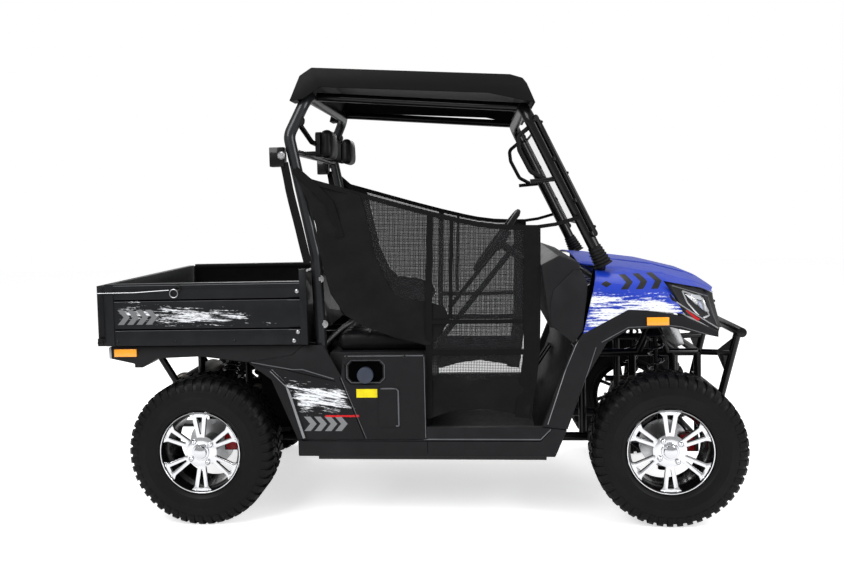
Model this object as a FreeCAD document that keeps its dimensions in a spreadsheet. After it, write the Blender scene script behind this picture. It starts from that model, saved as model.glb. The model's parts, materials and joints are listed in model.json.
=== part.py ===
"""Two-seat side by side utility vehicle with a tilting cargo bed.

Lengths are millimetres. Every sub-part is drawn in one frame whose x runs forward from the rear
axle, y to the vehicle's left and z up from the ground, and is then moved so that the finished
model's origin lies under the middle of its overall box.
"""
import FreeCAD, Part
import math
import os

import Sketcher

os.makedirs("parts", exist_ok=True)
Vector = FreeCAD.Vector
doc = FreeCAD.newDocument("UtilityVehicle")

# Driving dimensions
DIMENSIONS = [
    ("wheelbase", 1900),
    ("rear_overhang", 430),
    ("front_overhang", 372),
    ("tyre_r", 305),
    ("rim_r", 170),
    ("rear_tyre_w", 250),
    ("front_tyre_w", 205),
    ("rear_tyre_face", 670),
    ("front_tyre_face", 636),
    ("rail_z", 270),
    ("rail_r", 19),
    ("tube_r", 16),
    ("frame_half", 235),
    ("deck_z", 700),
    ("nose_rail_z", 640),
    ("kingpin_y", 440),
    ("joint_gap", 0.3),
    ("bed_half", 629),
    ("bed_floor_z", 748),
    ("bed_top_z", 1005),
    ("bed_front", 437),
    ("bed_wall", 25),
    ("headboard_top", 1045),
    ("hinge_x", -395),
    ("hinge_z", 725),
    ("hinge_pin_r", 8),
    ("gate_thick", 28),
    ("cab_half", 568),
    ("body_half", 603),
    ("sill_z", 278),
    ("hoop_r", 24),
    ("roof_skin", 8),
    ("seat_y", 300),
    ("seat_lean", 12),
    ("wheel_rim_r", 175),
    ("spindle_r", 16),
    ("spindle_gap", 0.5),
    ("lug_count", 20),
    ("lug_depth", 11),
    ("lug_length", 62),
    ("spoke_pairs", 6),
    ("stud_circle_r", 55),
    ("groove_depth", 5),
    ("groove_height", 9),
    ("rail_proud", 6),
    ("recess_depth", 16),
]

sheet = doc.addObject("Spreadsheet::Sheet", "Sizes")
for row, (alias, value) in enumerate(DIMENSIONS, start=1):
    sheet.set("A%d" % row, alias)
    sheet.set("B%d" % row, str(value))
    sheet.setAlias("B%d" % row, alias)
doc.recompute()


class Sizes:
    """Reads the sheet's named cells as plain numbers."""

    def __getattr__(self, alias):
        return float(getattr(sheet, alias))


s = Sizes()
W = s.wheelbase
B = s.body_half
F = s.frame_half
R = s.tyre_r
REAR_AXLE_X = "(Sizes.rear_overhang - Sizes.wheelbase - Sizes.front_overhang) / 2"
NODES = []


# Parametric building helpers
def number(expression):
    """Value of an expression over the sheet, or of a plain number."""
    return float(sheet.evalExpression(str(expression).replace("Sizes.", "")))


def place(feature, label):
    """Names a finished sub-part and ties its place to the rear axle."""
    feature.Label = label
    feature.setExpression("Placement.Base.x", REAR_AXLE_X)
    NODES.append(feature)
    return feature


def shape_node(label, shape):
    """Keeps a shape made by code as a sub-part, with its own place inside a compound."""
    feature = doc.addObject("Part::Feature", label)
    feature.Shape = shape if shape.Placement.isIdentity() else Part.makeCompound([shape])
    return place(feature, label)


def sketch_on(body, role, offset="0"):
    """Empty sketch on one of the body's own origin planes."""
    sketch = body.newObject("Sketcher::SketchObject", body.Name + "_sketch")
    plane = next(item for item in body.Origin.OriginFeatures if item.Role == role)
    sketch.AttachmentSupport = [(plane, "")]
    sketch.MapMode = "FlatFace"
    sketch.setExpression("AttachmentOffset.Base.z", str(offset))
    return sketch


def draw_outline(sketch, corners):
    """Closes a polygon whose corners are each held from the origin by expressions."""
    values = [(number(across), number(up)) for across, up in corners]
    count = len(values)
    for index, start in enumerate(values):
        end = values[(index + 1) % count]
        sketch.addGeometry(Part.LineSegment(Vector(*start, 0), Vector(*end, 0)))
    for index in range(count):
        sketch.addConstraint(Sketcher.Constraint("Coincident", index, 2, (index + 1) % count, 1))
    for index, (across, up) in enumerate(corners):
        for kind, text, value in (("DistanceX", across, values[index][0]),
                                  ("DistanceY", up, values[index][1])):
            held = sketch.addConstraint(Sketcher.Constraint(kind, -1, 1, index, 1, value))
            sketch.setExpression("Constraints[%d]" % held, str(text))


def new_body(name):
    """Empty body of the document."""
    return doc.addObject("PartDesign::Body", name)


def pad(body, role, corners, length, offset="0", middle=False):
    """Pad of one outline, added to the body."""
    sketch = sketch_on(body, role, offset)
    draw_outline(sketch, corners)
    feature = body.newObject("PartDesign::Pad", body.Name + "_pad")
    feature.Profile = sketch
    feature.Midplane = middle
    feature.setExpression("Length", str(length))
    doc.recompute()
    return feature


def pocket(body, role, corners, length, offset="0", middle=False, reverse=False):
    """Pocket of one outline, cut from the body."""
    volume = body.Shape.Volume
    sketch = sketch_on(body, role, offset)
    draw_outline(sketch, corners)
    feature = body.newObject("PartDesign::Pocket", body.Name + "_pocket")
    feature.Profile = sketch
    feature.Midplane = middle
    feature.Reversed = reverse
    feature.setExpression("Length", str(length))
    doc.recompute()
    if body.Shape.Volume > volume - 1:
        raise ValueError("a pocket of %s cut nothing" % body.Name)
    return feature


def side_plate(name, corners, inner, thickness):
    """Right-hand panel drawn from the side, from its inner face outwards."""
    body = new_body(name)
    pad(body, "XZ_Plane", corners, thickness, inner)
    return body


def both_sides(label, right):
    """One sub-part of a right-hand piece and its left-hand mirror image."""
    left = doc.addObject("Part::Mirroring", label + "_left")
    left.Source = right
    left.Normal = Vector(0, 1, 0)
    pair = doc.addObject("Part::Compound", label)
    pair.Links = [right, left]
    return place(pair, label)


# Shape helpers
def tube(points, radius, bend=60.0):
    """Round bar along straight runs joined by tangent arcs."""
    corners = [Vector(*point) for point in points]
    edges = []
    start = corners[0]
    for before, corner, after in zip(corners, corners[1:], corners[2:]):
        back = (before - corner).normalize()
        ahead = (after - corner).normalize()
        turn = math.pi - back.getAngle(ahead)
        reach = min(bend * math.tan(turn / 2), 0.45 * (corner - before).Length,
                    0.45 * (after - corner).Length)
        arc_radius = reach / math.tan(turn / 2)
        entry = corner + back * reach
        leave = corner + ahead * reach
        inward = (back + ahead).normalize()
        centre = corner + inward * (arc_radius / math.cos(turn / 2))
        middle = centre - inward * arc_radius
        edges.append(Part.LineSegment(start, entry).toShape())
        edges.append(Part.Arc(entry, middle, leave).toShape())
        start = leave
    edges.append(Part.LineSegment(start, corners[-1]).toShape())
    heading = (corners[1] - corners[0]).normalize()
    section = Part.Wire(Part.Circle(corners[0], heading, radius).toShape())
    return Part.Wire(edges).makePipeShell([section], True, False)


def bar(start, end, radius):
    """Straight round bar between two points."""
    base = Vector(*start)
    axis = Vector(*end) - base
    return Part.makeCylinder(radius, axis.Length, base, axis)


def block(low, high):
    """Box between its lowest and highest corners."""
    return Part.makeBox(high[0] - low[0], high[1] - low[1], high[2] - low[2], Vector(*low))


def mirrored(shape):
    """The same shape on the other side of the vehicle."""
    return shape.mirror(Vector(0, 0, 0), Vector(0, 1, 0))


def fused(shapes):
    """One solid from pieces that run into each other."""
    result = shapes[0].multiFuse(shapes[1:])
    return result.removeSplitter()


def skinned(loops, joined_ends=False):
    """Solid between loops of equally many corners, closed by end faces or by joining its ends."""
    count = len(loops[0])
    faces = []
    for first, second in zip(loops, loops[1:] + ([loops[0]] if joined_ends else [])):
        for index in range(count):
            after = (index + 1) % count
            corners = [first[index], first[after], second[after], second[index]]
            corners = [corner for place_in, corner in enumerate(corners)
                       if (corner - corners[place_in - 1]).Length > 1e-6]
            if len(corners) > 2:
                faces.append(Part.Face(Part.makePolygon(corners + [corners[0]])))
    if not joined_ends:
        for loop in (loops[0], loops[-1]):
            if (loop[0] - loop[1]).Length > 1e-6:
                faces.append(Part.Face(Part.makePolygon(loop + [loop[0]])))
    shell = Part.makeShell(faces)
    shell.sewShape()
    solid = Part.makeSolid(Part.Shell(shell.Faces))
    if solid.Volume < 0:
        solid.reverse()
    return solid


def circle_of(radius, height, sides):
    """Corners of a regular polygon round the z axis."""
    steps = [2 * math.pi * index / sides for index in range(sides)]
    return [Vector(radius * math.cos(step), radius * math.sin(step), height) for step in steps]


def turned(profile, sides, joined_ends=False):
    """Flat-sided solid of revolution about the z axis from (radius, height) corners."""
    return skinned([circle_of(radius, height, sides) for radius, height in profile], joined_ends)


def laid_across(solid, side):
    """The same solid with its z axis turned outwards to the given side of the vehicle."""
    solid.rotate(Vector(0, 0, 0), Vector(1, 0, 0), -90 * side)
    return solid


# Bed strut eyes
STRUT_Y = 190
STRUT_FOOT_X = 330
STRUT_FOOT_Z = 640
STRUT_HEAD_X = -5
STRUT_HEAD_Z = 715


# Frame
def build_frame_base():
    """Ladder of rails and cross tubes under the floor, each tube seated against the next."""
    z = s.rail_z
    front = W + 190
    step_y = 545
    gap = s.rail_r + s.joint_gap
    pieces = []
    for side in (-1, 1):
        pieces.append(bar((-134, side * F, z), (front, side * F, z), s.rail_r))
        pieces.append(bar((480, side * step_y, z), (W - 480, side * step_y, z), s.rail_r))
        for x in (520, 960, W - 500):
            pieces.append(bar((x, side * (F + gap), z), (x, side * (step_y - gap), z), s.rail_r))
    for x in (-115, 140, 300, 520, 960, W - 500, W - 85, W + 171):
        pieces.append(bar((x, gap - F, z), (x, F - gap, z), s.rail_r))
    shape_node("frame_base", Part.makeCompound(pieces))
    rack = W - 115
    seat_z = z + gap
    housing = block((rack - 15, -90, seat_z), (rack + 45, 90, R + 35))
    housing = housing.cut(bar((rack, -100, R + 12.3), (rack, 100, R + 12.3), 9.3))
    shape_node("rack_housing", housing)
    plate = block((-345, -38, z - 8), (-115 - gap, 38, z + 8))
    plate = plate.cut(bar((-305, 0, z - 20), (-305, 0, z + 20), 9.5))
    return shape_node("drawbar", plate)


def build_frame_rear():
    pieces = []
    low = s.rail_z + s.rail_r + s.joint_gap
    for side in (-1, 1):
        y = side * s.frame_half
        pieces.append(bar((-340, y, s.deck_z), (480, y, s.deck_z), s.tube_r))
        for x in (-110, 110, 480):
            pieces.append(bar((x, y, low), (x, y, s.deck_z), s.tube_r))
        pieces.append(bar((-110, y, low + 30), (-340, y, s.deck_z), s.tube_r))
        pieces.append(block((s.hinge_x - 8, y - 5, s.deck_z - 14), (-330, y + 5, s.hinge_z + 8)))
        pieces.append(bar((480, y, s.deck_z), (502, side * 522.5, s.deck_z), s.tube_r))
        pieces.append(block((10, min(y, y + side * 70), s.deck_z - 8),
                            (110, max(y, y + side * 70), s.deck_z + 8)))
    for x in (-340, -110, 352, 480):
        pieces.append(bar((x, -s.frame_half, s.deck_z), (x, s.frame_half, s.deck_z), s.tube_r))
    for y in (STRUT_Y - 18, STRUT_Y + 18):
        pieces.append(block((STRUT_FOOT_X - 10, y - 3, STRUT_FOOT_Z - 12), (352, y + 3, s.deck_z)))
    pieces.append(bar((STRUT_FOOT_X, STRUT_Y - 18, STRUT_FOOT_Z),
                      (STRUT_FOOT_X, STRUT_Y + 18, STRUT_FOOT_Z), 5))
    pieces.append(bar((s.hinge_x, -F - 35, s.hinge_z), (s.hinge_x, F + 35, s.hinge_z), s.hinge_pin_r))
    return shape_node("frame_rear", fused(pieces))


def build_frame_front():
    pieces = []
    low = s.rail_z + s.rail_r + s.joint_gap
    front = s.wheelbase + 190
    for side in (-1, 1):
        y = side * s.frame_half
        pieces.append(bar((W - 340, y, s.nose_rail_z), (front, y, s.nose_rail_z), s.tube_r))
        for x in (W - 300, s.wheelbase - 85, s.wheelbase + 85, front):
            pieces.append(bar((x, y, low), (x, y, s.nose_rail_z), s.tube_r))
        tower = s.wheelbase
        pieces.append(bar((tower - 60, y, s.nose_rail_z), (tower, side * (F + 35), 800), s.tube_r))
        pieces.append(bar((tower + 60, y, s.nose_rail_z), (tower, side * (F + 35), 800), s.tube_r))
    pieces.append(bar((W, -F - 75, 800), (W, F + 75, 800), s.tube_r))
    for x in (W - 300, W + 112, front):
        pieces.append(bar((x, -s.frame_half, s.nose_rail_z), (x, s.frame_half, s.nose_rail_z), s.tube_r))
    return shape_node("frame_front", fused(pieces))


# Running gear
def arm(x, height, reach, hub_x, hub_y, hub_z, radius, rail):
    """Right-hand wishbone with its two pivot sleeves beside a frame tube of the given radius."""
    pivot_y = -(s.frame_half + rail + 14 + s.joint_gap)
    pieces = []
    for sign in (-1, 1):
        foot = (x + sign * reach, pivot_y, height)
        pieces.append(bar((foot[0] - 25, pivot_y, height), (foot[0] + 25, pivot_y, height), 14))
        pieces.append(bar(foot, (hub_x, -hub_y, hub_z), radius))
    return pieces


def build_front_arms():
    axle = s.wheelbase
    hub = -s.kingpin_y
    lower = arm(axle, s.rail_z, 110, axle, s.kingpin_y, R - 107, 11, s.rail_r)
    lower.append(bar((axle - 43, -F - 137, R - 78), (axle + 43, -F - 137, R - 78), 9))
    lower.append(bar((axle, hub, R - 119), (axle, hub, R - 93), 18))
    lower.append(bar((axle, hub, R - 105), (axle, hub, R - 60), 7))
    upper = arm(axle, R + 125, 110, axle, s.kingpin_y, R + 99, 11, s.tube_r)
    upper.append(bar((axle, hub, R + 87), (axle, hub, R + 111), 18))
    upper.append(bar((axle, hub, R + 60), (axle, hub, R + 105), 7))
    right = [fused(lower), fused(upper)]
    return shape_node("front_arms", Part.makeCompound(right + [mirrored(item) for item in right]))


def caliper(axle, way):
    """Right-hand brake caliper straddling its disc, ahead of the axle or behind it."""
    near = sorted((60 * way, 135 * way))
    bridge = sorted((105 * way, 135 * way))
    low, high = s.tyre_r - 30, s.tyre_r + 30
    cheeks = [block((axle + near[0], y, low), (axle + near[1], y + 18, high)) for y in (-495, -464)]
    return cheeks + [block((axle + bridge[0], -495, low), (axle + bridge[1], -446, high))]


def build_rear_arms():
    right = arm(0, s.rail_z, 110, 0, F + 150, R - 80, 11, s.rail_r)
    right += arm(0, R + 125, 110, 0, F + 150, R + 95, 11, s.tube_r)
    right.append(bar((-37, -F - 110, R + 105), (37, -F - 110, R + 105), 9))
    right.append(block((-30, -F - 175, R - 100), (30, -F - 135, R + 115)))
    right.append(bar((0, -400, s.tyre_r), (0, -560, s.tyre_r), s.spindle_r))
    right.append(bar((10, -405, s.tyre_r), (75, -455, s.tyre_r), 12))
    right += caliper(0, 1)
    solid = fused(right)
    return shape_node("rear_arms", Part.makeCompound([solid, mirrored(solid)]))


def shock(bottom, top):
    """Coil-over strut: damper with a ribbed sleeve of its coil's size."""
    axis = Vector(*top) - Vector(*bottom)
    length = axis.Length
    profile = [(0, 0), (16, 0), (16, 50)]
    coils = 6
    pitch = (length - 130) / coils
    for turn in range(coils):
        base = 60 + turn * pitch
        profile += [(25, base), (34, base + pitch * 0.3), (34, base + pitch * 0.6),
                    (25, base + pitch * 0.9)]
    profile += [(30, length - 66), (30, length - 60), (14, length - 40), (14, length), (0, length)]
    solid = turned(profile, 12)
    solid.Placement = FreeCAD.Placement(Vector(*bottom), FreeCAD.Rotation(Vector(0, 0, 1), axis))
    return solid


def build_shocks():
    front = shock((W, -F - 137, R - 68.65), (W, -F - 65, 781.8))
    shape_node("front_shocks", Part.makeCompound([front, mirrored(front)]))
    rear = shock((20, -F - 110, R + 119), (62, -F - 47, s.deck_z - 12.2))
    return shape_node("rear_shocks", Part.makeCompound([rear, mirrored(rear)]))


def build_rear_axle():
    case = block((-95.7, -110, s.tyre_r - 80), (120.7, 110, s.tyre_r + 95))
    left = bar((0, -369, s.tyre_r), (0, 369, s.tyre_r), 14)
    boots = [bar((0, side * 110, s.tyre_r), (0, side * 190, s.tyre_r), 34) for side in (-1, 1)]
    return shape_node("rear_axle", fused([case, left] + boots))


def build_engine():
    engine = doc.addObject("Part::Box", "engine_box")
    engine.Length = 330
    engine.Width = 330
    engine.Height = 360
    engine.Placement.Base = Vector(150, -165, 289.3)
    holder = doc.addObject("Part::Compound", "engine_block")
    holder.Links = [engine]
    return place(holder, "engine_block")


def build_muffler():
    can = bar((-190, 16.4 - F, 480), (-190, F - 16.4, 480), 68)
    pipe = tube([(-190, 120, 480), (-330, 120, 480), (-360, 120, 440)], 19, 40)
    feed = bar((-190, -120, 480), (149.7, -120, 480), 17)
    return shape_node("muffler", fused([can, pipe, feed]))


def build_knuckle(label, side):
    axle = s.wheelbase
    y = s.kingpin_y
    post = block((axle - 22, -y - 18, R - 84), (axle + 22, -y + 14, R + 84))
    pieces = [post, bar((axle, -y - 10, s.tyre_r), (axle, -560, s.tyre_r), s.spindle_r)]
    pieces.append(block((axle - 128, -y - 4, R - 9), (axle - 15, -y + 12, R + 3)))
    pieces.append(block((axle + 15, -y - 20, R - 9), (axle + 75, -y - 4, R + 9)))
    pieces += caliper(axle, 1)
    solid = fused(pieces)
    for low, high in ((R - 90, R - 55), (R + 55, R + 90)):
        solid = solid.cut(bar((axle, -y, low), (axle, -y, high), 7 + s.spindle_gap))
    return shape_node(label, solid if side < 0 else mirrored(solid))


def build_tie_rods():
    x = s.wheelbase - 115
    return shape_node("tie_rods", bar((x, -432, R + 12.3), (x, 432, R + 12.3), 9))


def tyre_profile(width, face):
    """Cross-section corners as (radius, y) from the inner bead out round the tread's base."""
    inner = face - width
    base = s.tyre_r - s.lug_depth
    bead = s.rim_r
    return [(bead, inner + 22), (bead + 30, inner + 4), (base - 45, inner), (base - 16, inner + 6),
            (base, inner + 34),
            (base, face - 34), (base - 16, face - 6), (base - 45, face), (bead + 30, face - 4),
            (bead, face - 22)]


def toothed_loop(base, tip, height, turn):
    """Corners of a toothed outline with radial flanks."""
    count = int(s.lug_count)
    corners = []
    for index in range(count):
        for share, radius in ((0.0, base), (0.0, tip), (0.56, tip), (0.56, base)):
            angle = 2 * math.pi * (index + share + turn) / count
            corners.append(Vector(radius * math.cos(angle), radius * math.sin(angle), height))
    return corners


def lug_ring(edge, way, turn):
    """One row of tread lugs that run from the tread's middle over the shoulder to the side wall."""
    base = s.tyre_r - s.lug_depth
    loops = [toothed_loop(base, s.tyre_r, edge - way * (s.lug_length + 8), turn),
             toothed_loop(base, s.tyre_r, edge - way * 28, turn),
             toothed_loop(base - 24, s.tyre_r - 18, edge - way * 2, turn)]
    core = turned([(base - 42, edge - way * (s.lug_length + 9)), (base - 42, edge)], 16)
    return skinned(loops).cut(core)


def spoke_pair(outer):
    """Two spokes that part from each other between the hub and the rim's edge."""
    reach = s.rim_r - 12
    arms = []
    for sign in (-1, 1):
        corners = [(38, 3), (38, 21), (reach, 41), (reach, 17)]
        points = [Vector(along, sign * across, outer - 16) for along, across in corners]
        arm_face = Part.Face(Part.makePolygon(points + [points[0]]))
        arms.append(arm_face.extrude(Vector(0, 0, 16)))
    return arms


def build_tyre(place_name, x, side, width, face):
    inner = face - width
    sides = int(s.lug_count)
    carcass = turned(tyre_profile(width, face), sides, joined_ends=True)
    tread = [(s.tyre_r - s.lug_depth - 20, inner + 20 + s.lug_length),
             (s.tyre_r - 3, inner + 20 + s.lug_length),
             (s.tyre_r - 3, face - 20 - s.lug_length), (s.tyre_r - s.lug_depth - 20,
                                                        face - 20 - s.lug_length)]
    tyre = fused([carcass, turned(tread, sides, joined_ends=True), lug_ring(face, 1, 0),
                  lug_ring(inner, -1, 0.5)])
    tyre = tyre.cut(turned([(s.rim_r, inner - 5), (s.rim_r, face + 5)], 2 * sides))
    tyre = laid_across(tyre, side)
    tyre.translate(Vector(x, 0, s.tyre_r))
    return shape_node("tyre_" + place_name, tyre)


def build_rim(place_name, x, side, width, face):
    inner = face - width
    seat = s.rim_r - 0.6
    well = s.rim_r - 20
    barrel = turned([(seat, inner + 20), (seat, face - 19), (s.rim_r - 12, face - 19), (well, face - 60),
                     (well, inner + 20)], 2 * int(s.lug_count), joined_ends=True)
    bore = s.spindle_r + s.spindle_gap
    hub = turned([(40, 464), (40, face - 40), (60, face - 36), (60, face - 28), (0, face - 28), (0, 464)],
                 24)
    disc = turned([(38, 468), (95, 468), (95, 472), (38, 472)], 24, joined_ends=True)
    cap = turned([(0, face - 50), (34, face - 50), (34, face - 26), (24, face - 17), (0, face - 14)], 16)
    socket = Part.makeCylinder(bore, 562 - 460, Vector(0, 0, 460))
    pieces = [barrel, hub, disc, cap]
    for index in range(4):
        angle = math.radians(45 + 90 * index)
        stud = turned([(0, face - 40), (10, face - 40), (10, face - 18), (0, face - 14)], 8)
        stud.translate(Vector(s.stud_circle_r * math.cos(angle), s.stud_circle_r * math.sin(angle), 0))
        pieces.append(stud)
    pairs = int(s.spoke_pairs)
    for index in range(pairs):
        for arm_piece in spoke_pair(face - 24):
            arm_piece.rotate(Vector(0, 0, 0), Vector(0, 0, 1), 360 * index / pairs)
            pieces.append(arm_piece)
    rim = laid_across(fused(pieces).cut(socket), side)
    rim.translate(Vector(x, 0, s.tyre_r))
    return shape_node("rim_" + place_name, rim)


# Cargo bed
def build_bed():
    body = new_body("bed_body")
    rear = "Sizes.hinge_x + 5"
    pad(body, "XZ_Plane",
        [(rear, "Sizes.bed_floor_z"), ("Sizes.bed_front + 25", "Sizes.bed_floor_z"),
         ("Sizes.bed_front + 25", "Sizes.headboard_top"), ("Sizes.bed_front", "Sizes.headboard_top"),
         ("Sizes.bed_front", "Sizes.bed_top_z"), (rear, "Sizes.bed_top_z")],
        "2 * Sizes.bed_half", middle=True)
    floor = "Sizes.bed_floor_z + 12"
    pocket(body, "XZ_Plane",
           [(rear + " - 20", floor), ("Sizes.bed_front", floor),
            ("Sizes.bed_front", "Sizes.bed_top_z + 60"),
            (rear + " - 20", "Sizes.bed_top_z + 60")],
           "2 * (Sizes.bed_half - Sizes.bed_wall)", middle=True)
    for low in ("Sizes.bed_floor_z + 62", "Sizes.bed_floor_z + 184"):
        for way in ("-Sizes.bed_half", "Sizes.bed_half - Sizes.groove_depth"):
            pocket(body, "XZ_Plane",
                   [("Sizes.hinge_x + 45", low), ("Sizes.bed_front", low),
                    ("Sizes.bed_front", low + " + Sizes.groove_height"),
                    ("Sizes.hinge_x + 45", low + " + Sizes.groove_height")],
                   "Sizes.groove_depth", way, reverse=True)
    lugs = doc.addObject("Part::Feature", "bed_lugs")
    pieces = []
    proud = s.bed_half + s.rail_proud
    for side in (-1, 1):
        low_y, high_y = sorted((side * (s.bed_half - 2), side * proud))
        inner_y, outer_y = sorted((side * (s.bed_half - s.bed_wall - 6), side * proud))
        pieces.append(block((s.hinge_x + 5, inner_y, s.bed_top_z - 18),
                            (s.bed_front, outer_y, s.bed_top_z + 2)))
        pieces.append(block((s.hinge_x + 5, low_y, s.bed_floor_z), (s.hinge_x + 40, high_y, s.bed_top_z)))
        pieces.append(block((s.bed_front - 4, low_y, s.bed_floor_z),
                            (s.bed_front + 25, high_y, s.headboard_top + 12)))
    for side in (-1, 1):
        y = side * (s.frame_half + 20)
        lug = block((s.hinge_x - 12, y - 5, s.hinge_z - 14), (s.hinge_x + 40, y + 5, s.bed_floor_z + 3))
        lug = lug.cut(block((s.hinge_x - 20, y - 6, s.bed_floor_z - 10),
                            (s.hinge_x + 5, y + 6, s.bed_floor_z + 10)))
        pieces.append(lug.cut(bar((s.hinge_x, y - 20, s.hinge_z), (s.hinge_x, y + 20, s.hinge_z),
                                  s.hinge_pin_r + 0.5)))
        outer = side * (s.bed_half + 1)
        ear = block((-s.rear_overhang, min(outer, outer - side * 5), s.bed_floor_z),
                    (-380, max(outer, outer - side * 5), 780))
        knob = bar((GATE_X, side * 606, GATE_Z), (GATE_X, outer, GATE_Z), 6)
        pieces.append(ear.fuse(knob).fuse(bar((GATE_X, outer, GATE_Z), (GATE_X, side * 636, GATE_Z), 13)))
    strut_lugs = [block((STRUT_HEAD_X - 20, y - 3, STRUT_HEAD_Z - 10),
                        (STRUT_HEAD_X + 20, y + 3, s.bed_floor_z + 3))
                  for y in (STRUT_Y - 18, STRUT_Y + 18)]
    strut_pin = bar((STRUT_HEAD_X, STRUT_Y - 18, STRUT_HEAD_Z),
                    (STRUT_HEAD_X, STRUT_Y + 18, STRUT_HEAD_Z), 5)
    lugs.Shape = fused(pieces + strut_lugs + [strut_pin])
    tub = doc.addObject("Part::MultiFuse", "bed_fusion")
    tub.Shapes = [body, lugs]
    return place(tub, "bed_tub")


# Tailgate pivot
GATE_X = -416
GATE_Z = 762


def build_tailgate():
    body = new_body("tailgate_body")
    back = "-Sizes.rear_overhang"
    front = "-Sizes.rear_overhang + Sizes.gate_thick"
    pad(body, "XZ_Plane",
        [(back, "Sizes.bed_floor_z + 4"), (front, "Sizes.bed_floor_z + 4"),
         (front, "Sizes.bed_top_z - 5"),
         (back, "Sizes.bed_top_z - 5")],
        "2 * (Sizes.bed_half - 9)", middle=True)
    for low, high in (("14", "86"), ("104", "166"), ("184", "240")):
        pocket(body, "YZ_Plane",
               [("-Sizes.bed_half + 60", "Sizes.bed_floor_z + " + low),
                ("Sizes.bed_half - 60", "Sizes.bed_floor_z + " + low),
                ("Sizes.bed_half - 60", "Sizes.bed_floor_z + " + high),
                ("-Sizes.bed_half + 60", "Sizes.bed_floor_z + " + high)],
               "6", back, reverse=True)
    pins = doc.addObject("Part::Feature", "gate_pins")
    pins.Shape = bar((GATE_X, -640, GATE_Z), (GATE_X, 640, GATE_Z), 6.4).cut(
        bar((GATE_X, -600, GATE_Z), (GATE_X, 600, GATE_Z), 20))
    gate = doc.addObject("Part::Cut", "tailgate")
    gate.Base = body
    gate.Tool = pins
    return place(gate, "tailgate")


def build_strut():
    """Gas strut under the bed, its barrel on the frame and its rod's eye at the bed."""
    foot = Vector(STRUT_FOOT_X, STRUT_Y, STRUT_FOOT_Z)
    head = Vector(STRUT_HEAD_X, STRUT_Y, STRUT_HEAD_Z)
    axis = (head - foot).normalize()
    length = (head - foot).Length
    barrel = Part.makeCylinder(12, 292, foot + axis * 6, axis).cut(Part.makeCylinder(6.5, 400,
                                                                                     foot + axis * 20,
                                                                                     axis))
    eye = bar((foot.x, STRUT_Y - 8, foot.z), (foot.x, STRUT_Y + 8, foot.z), 12)
    barrel = fused([barrel, eye]).cut(bar((foot.x, STRUT_Y - 20, foot.z), (foot.x, STRUT_Y + 20, foot.z),
                                          5.5))
    shape_node("strut_barrel", barrel)
    rod = Part.makeCylinder(5.5, length - 14 - 40, foot + axis * 40, axis)
    rod_eye = bar((head.x, STRUT_Y - 7, head.z), (head.x, STRUT_Y + 7, head.z), 11)
    rod = fused([rod, rod_eye, Part.makeCylinder(5.5, 20, foot + axis * (length - 25), axis)])
    rod = rod.cut(bar((head.x, STRUT_Y - 20, head.z), (head.x, STRUT_Y + 20, head.z), 5.5))
    return shape_node("strut_rod", rod)


# Cab structure
PILLAR = [(W - 300, -262, 672), (W - 248, -520, 1062), (W - 548, -530, 1690)]


def pillar_hole():
    """Room for both front pillars where they pass through the body panels."""
    way = tube(PILLAR, s.hoop_r + 1, 70)
    return Part.makeCompound([way, mirrored(way)])


def build_rops():
    side = [(502, -548, 289.4), (502, -548, 750), (491, -548, 1108), (392, -548, 1603), (470, -522, 1765)]
    other = [(x, -y, z) for x, y, z in reversed(side)]
    hoop = tube(side + other, s.hoop_r, 70)
    cross = [bar((491, -548, 1108), (491, 548, 1108), 16), bar((405, -546, 1540), (405, 546, 1540), 16)]
    for y in (-340, -260, 260, 340):
        cross.append(bar((405, y, 1540), (469.7, y, 1540), 9))
    shape_node("rops_rear_hoop", fused([hoop] + cross))
    pillar = PILLAR
    far = [(x, -y, z) for x, y, z in reversed(pillar)]
    front = tube(pillar + far, s.hoop_r, 70)
    rails = []
    for sign in (-1, 1):
        rails.append(bar((495, sign * 430, 1772), (W - 558, sign * 430, 1698), 18))
    dash = bar((W - 258, -465, 985), (W - 258, 465, 985), 16)
    return shape_node("rops_front_hoop", fused([front, dash] + rails))


def build_roof():
    body = new_body("roof_body")
    outline = [("401", "1743"), ("447", "1845"), ("497", "1876"), ("Sizes.wheelbase - 600", "1817"),
               ("Sizes.wheelbase - 551", "1801"),
               ("Sizes.wheelbase - 534", "1779"), ("Sizes.wheelbase - 501", "1700")]
    shell = outline + [("Sizes.wheelbase - 688", "1746"), ("530", "1795"), ("458", "1749")]
    top = pad(body, "XZ_Plane", shell, "2 * Sizes.cab_half", middle=True)
    inside = [("430", "1735"), ("470", "1842"), ("500", "1866"), ("Sizes.wheelbase - 602", "1808"),
              ("Sizes.wheelbase - 560", "1790"), ("Sizes.wheelbase - 518", "1690")]
    pocket(body, "XZ_Plane", inside, "2 * (Sizes.cab_half - Sizes.roof_skin)", middle=True)
    pocket(body, "YZ_Plane", [("-490", "1700"), ("490", "1700"), ("400", "1802"), ("-400", "1802")],
           "130", "380", reverse=True)
    return place(body, "roof")


SCREEN_HALVES = [((W - 285, 1196), (W - 389, 1413.7)), ((W - 389.4, 1414.6), (W - 488, 1620))]


def build_windscreen():
    pieces = []
    for low, high in SCREEN_HALVES:
        corners = [Vector(low[0], -540, low[1]), Vector(low[0] + 4, -540, low[1] + 2),
                   Vector(high[0] + 4, -540, high[1] + 2), Vector(high[0], -540, high[1])]
        face = Part.Face(Part.makePolygon(corners + [corners[0]]))
        pieces.append(face.extrude(Vector(0, 1080, 0)))
    return shape_node("windscreen", Part.makeCompound(pieces))


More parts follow.
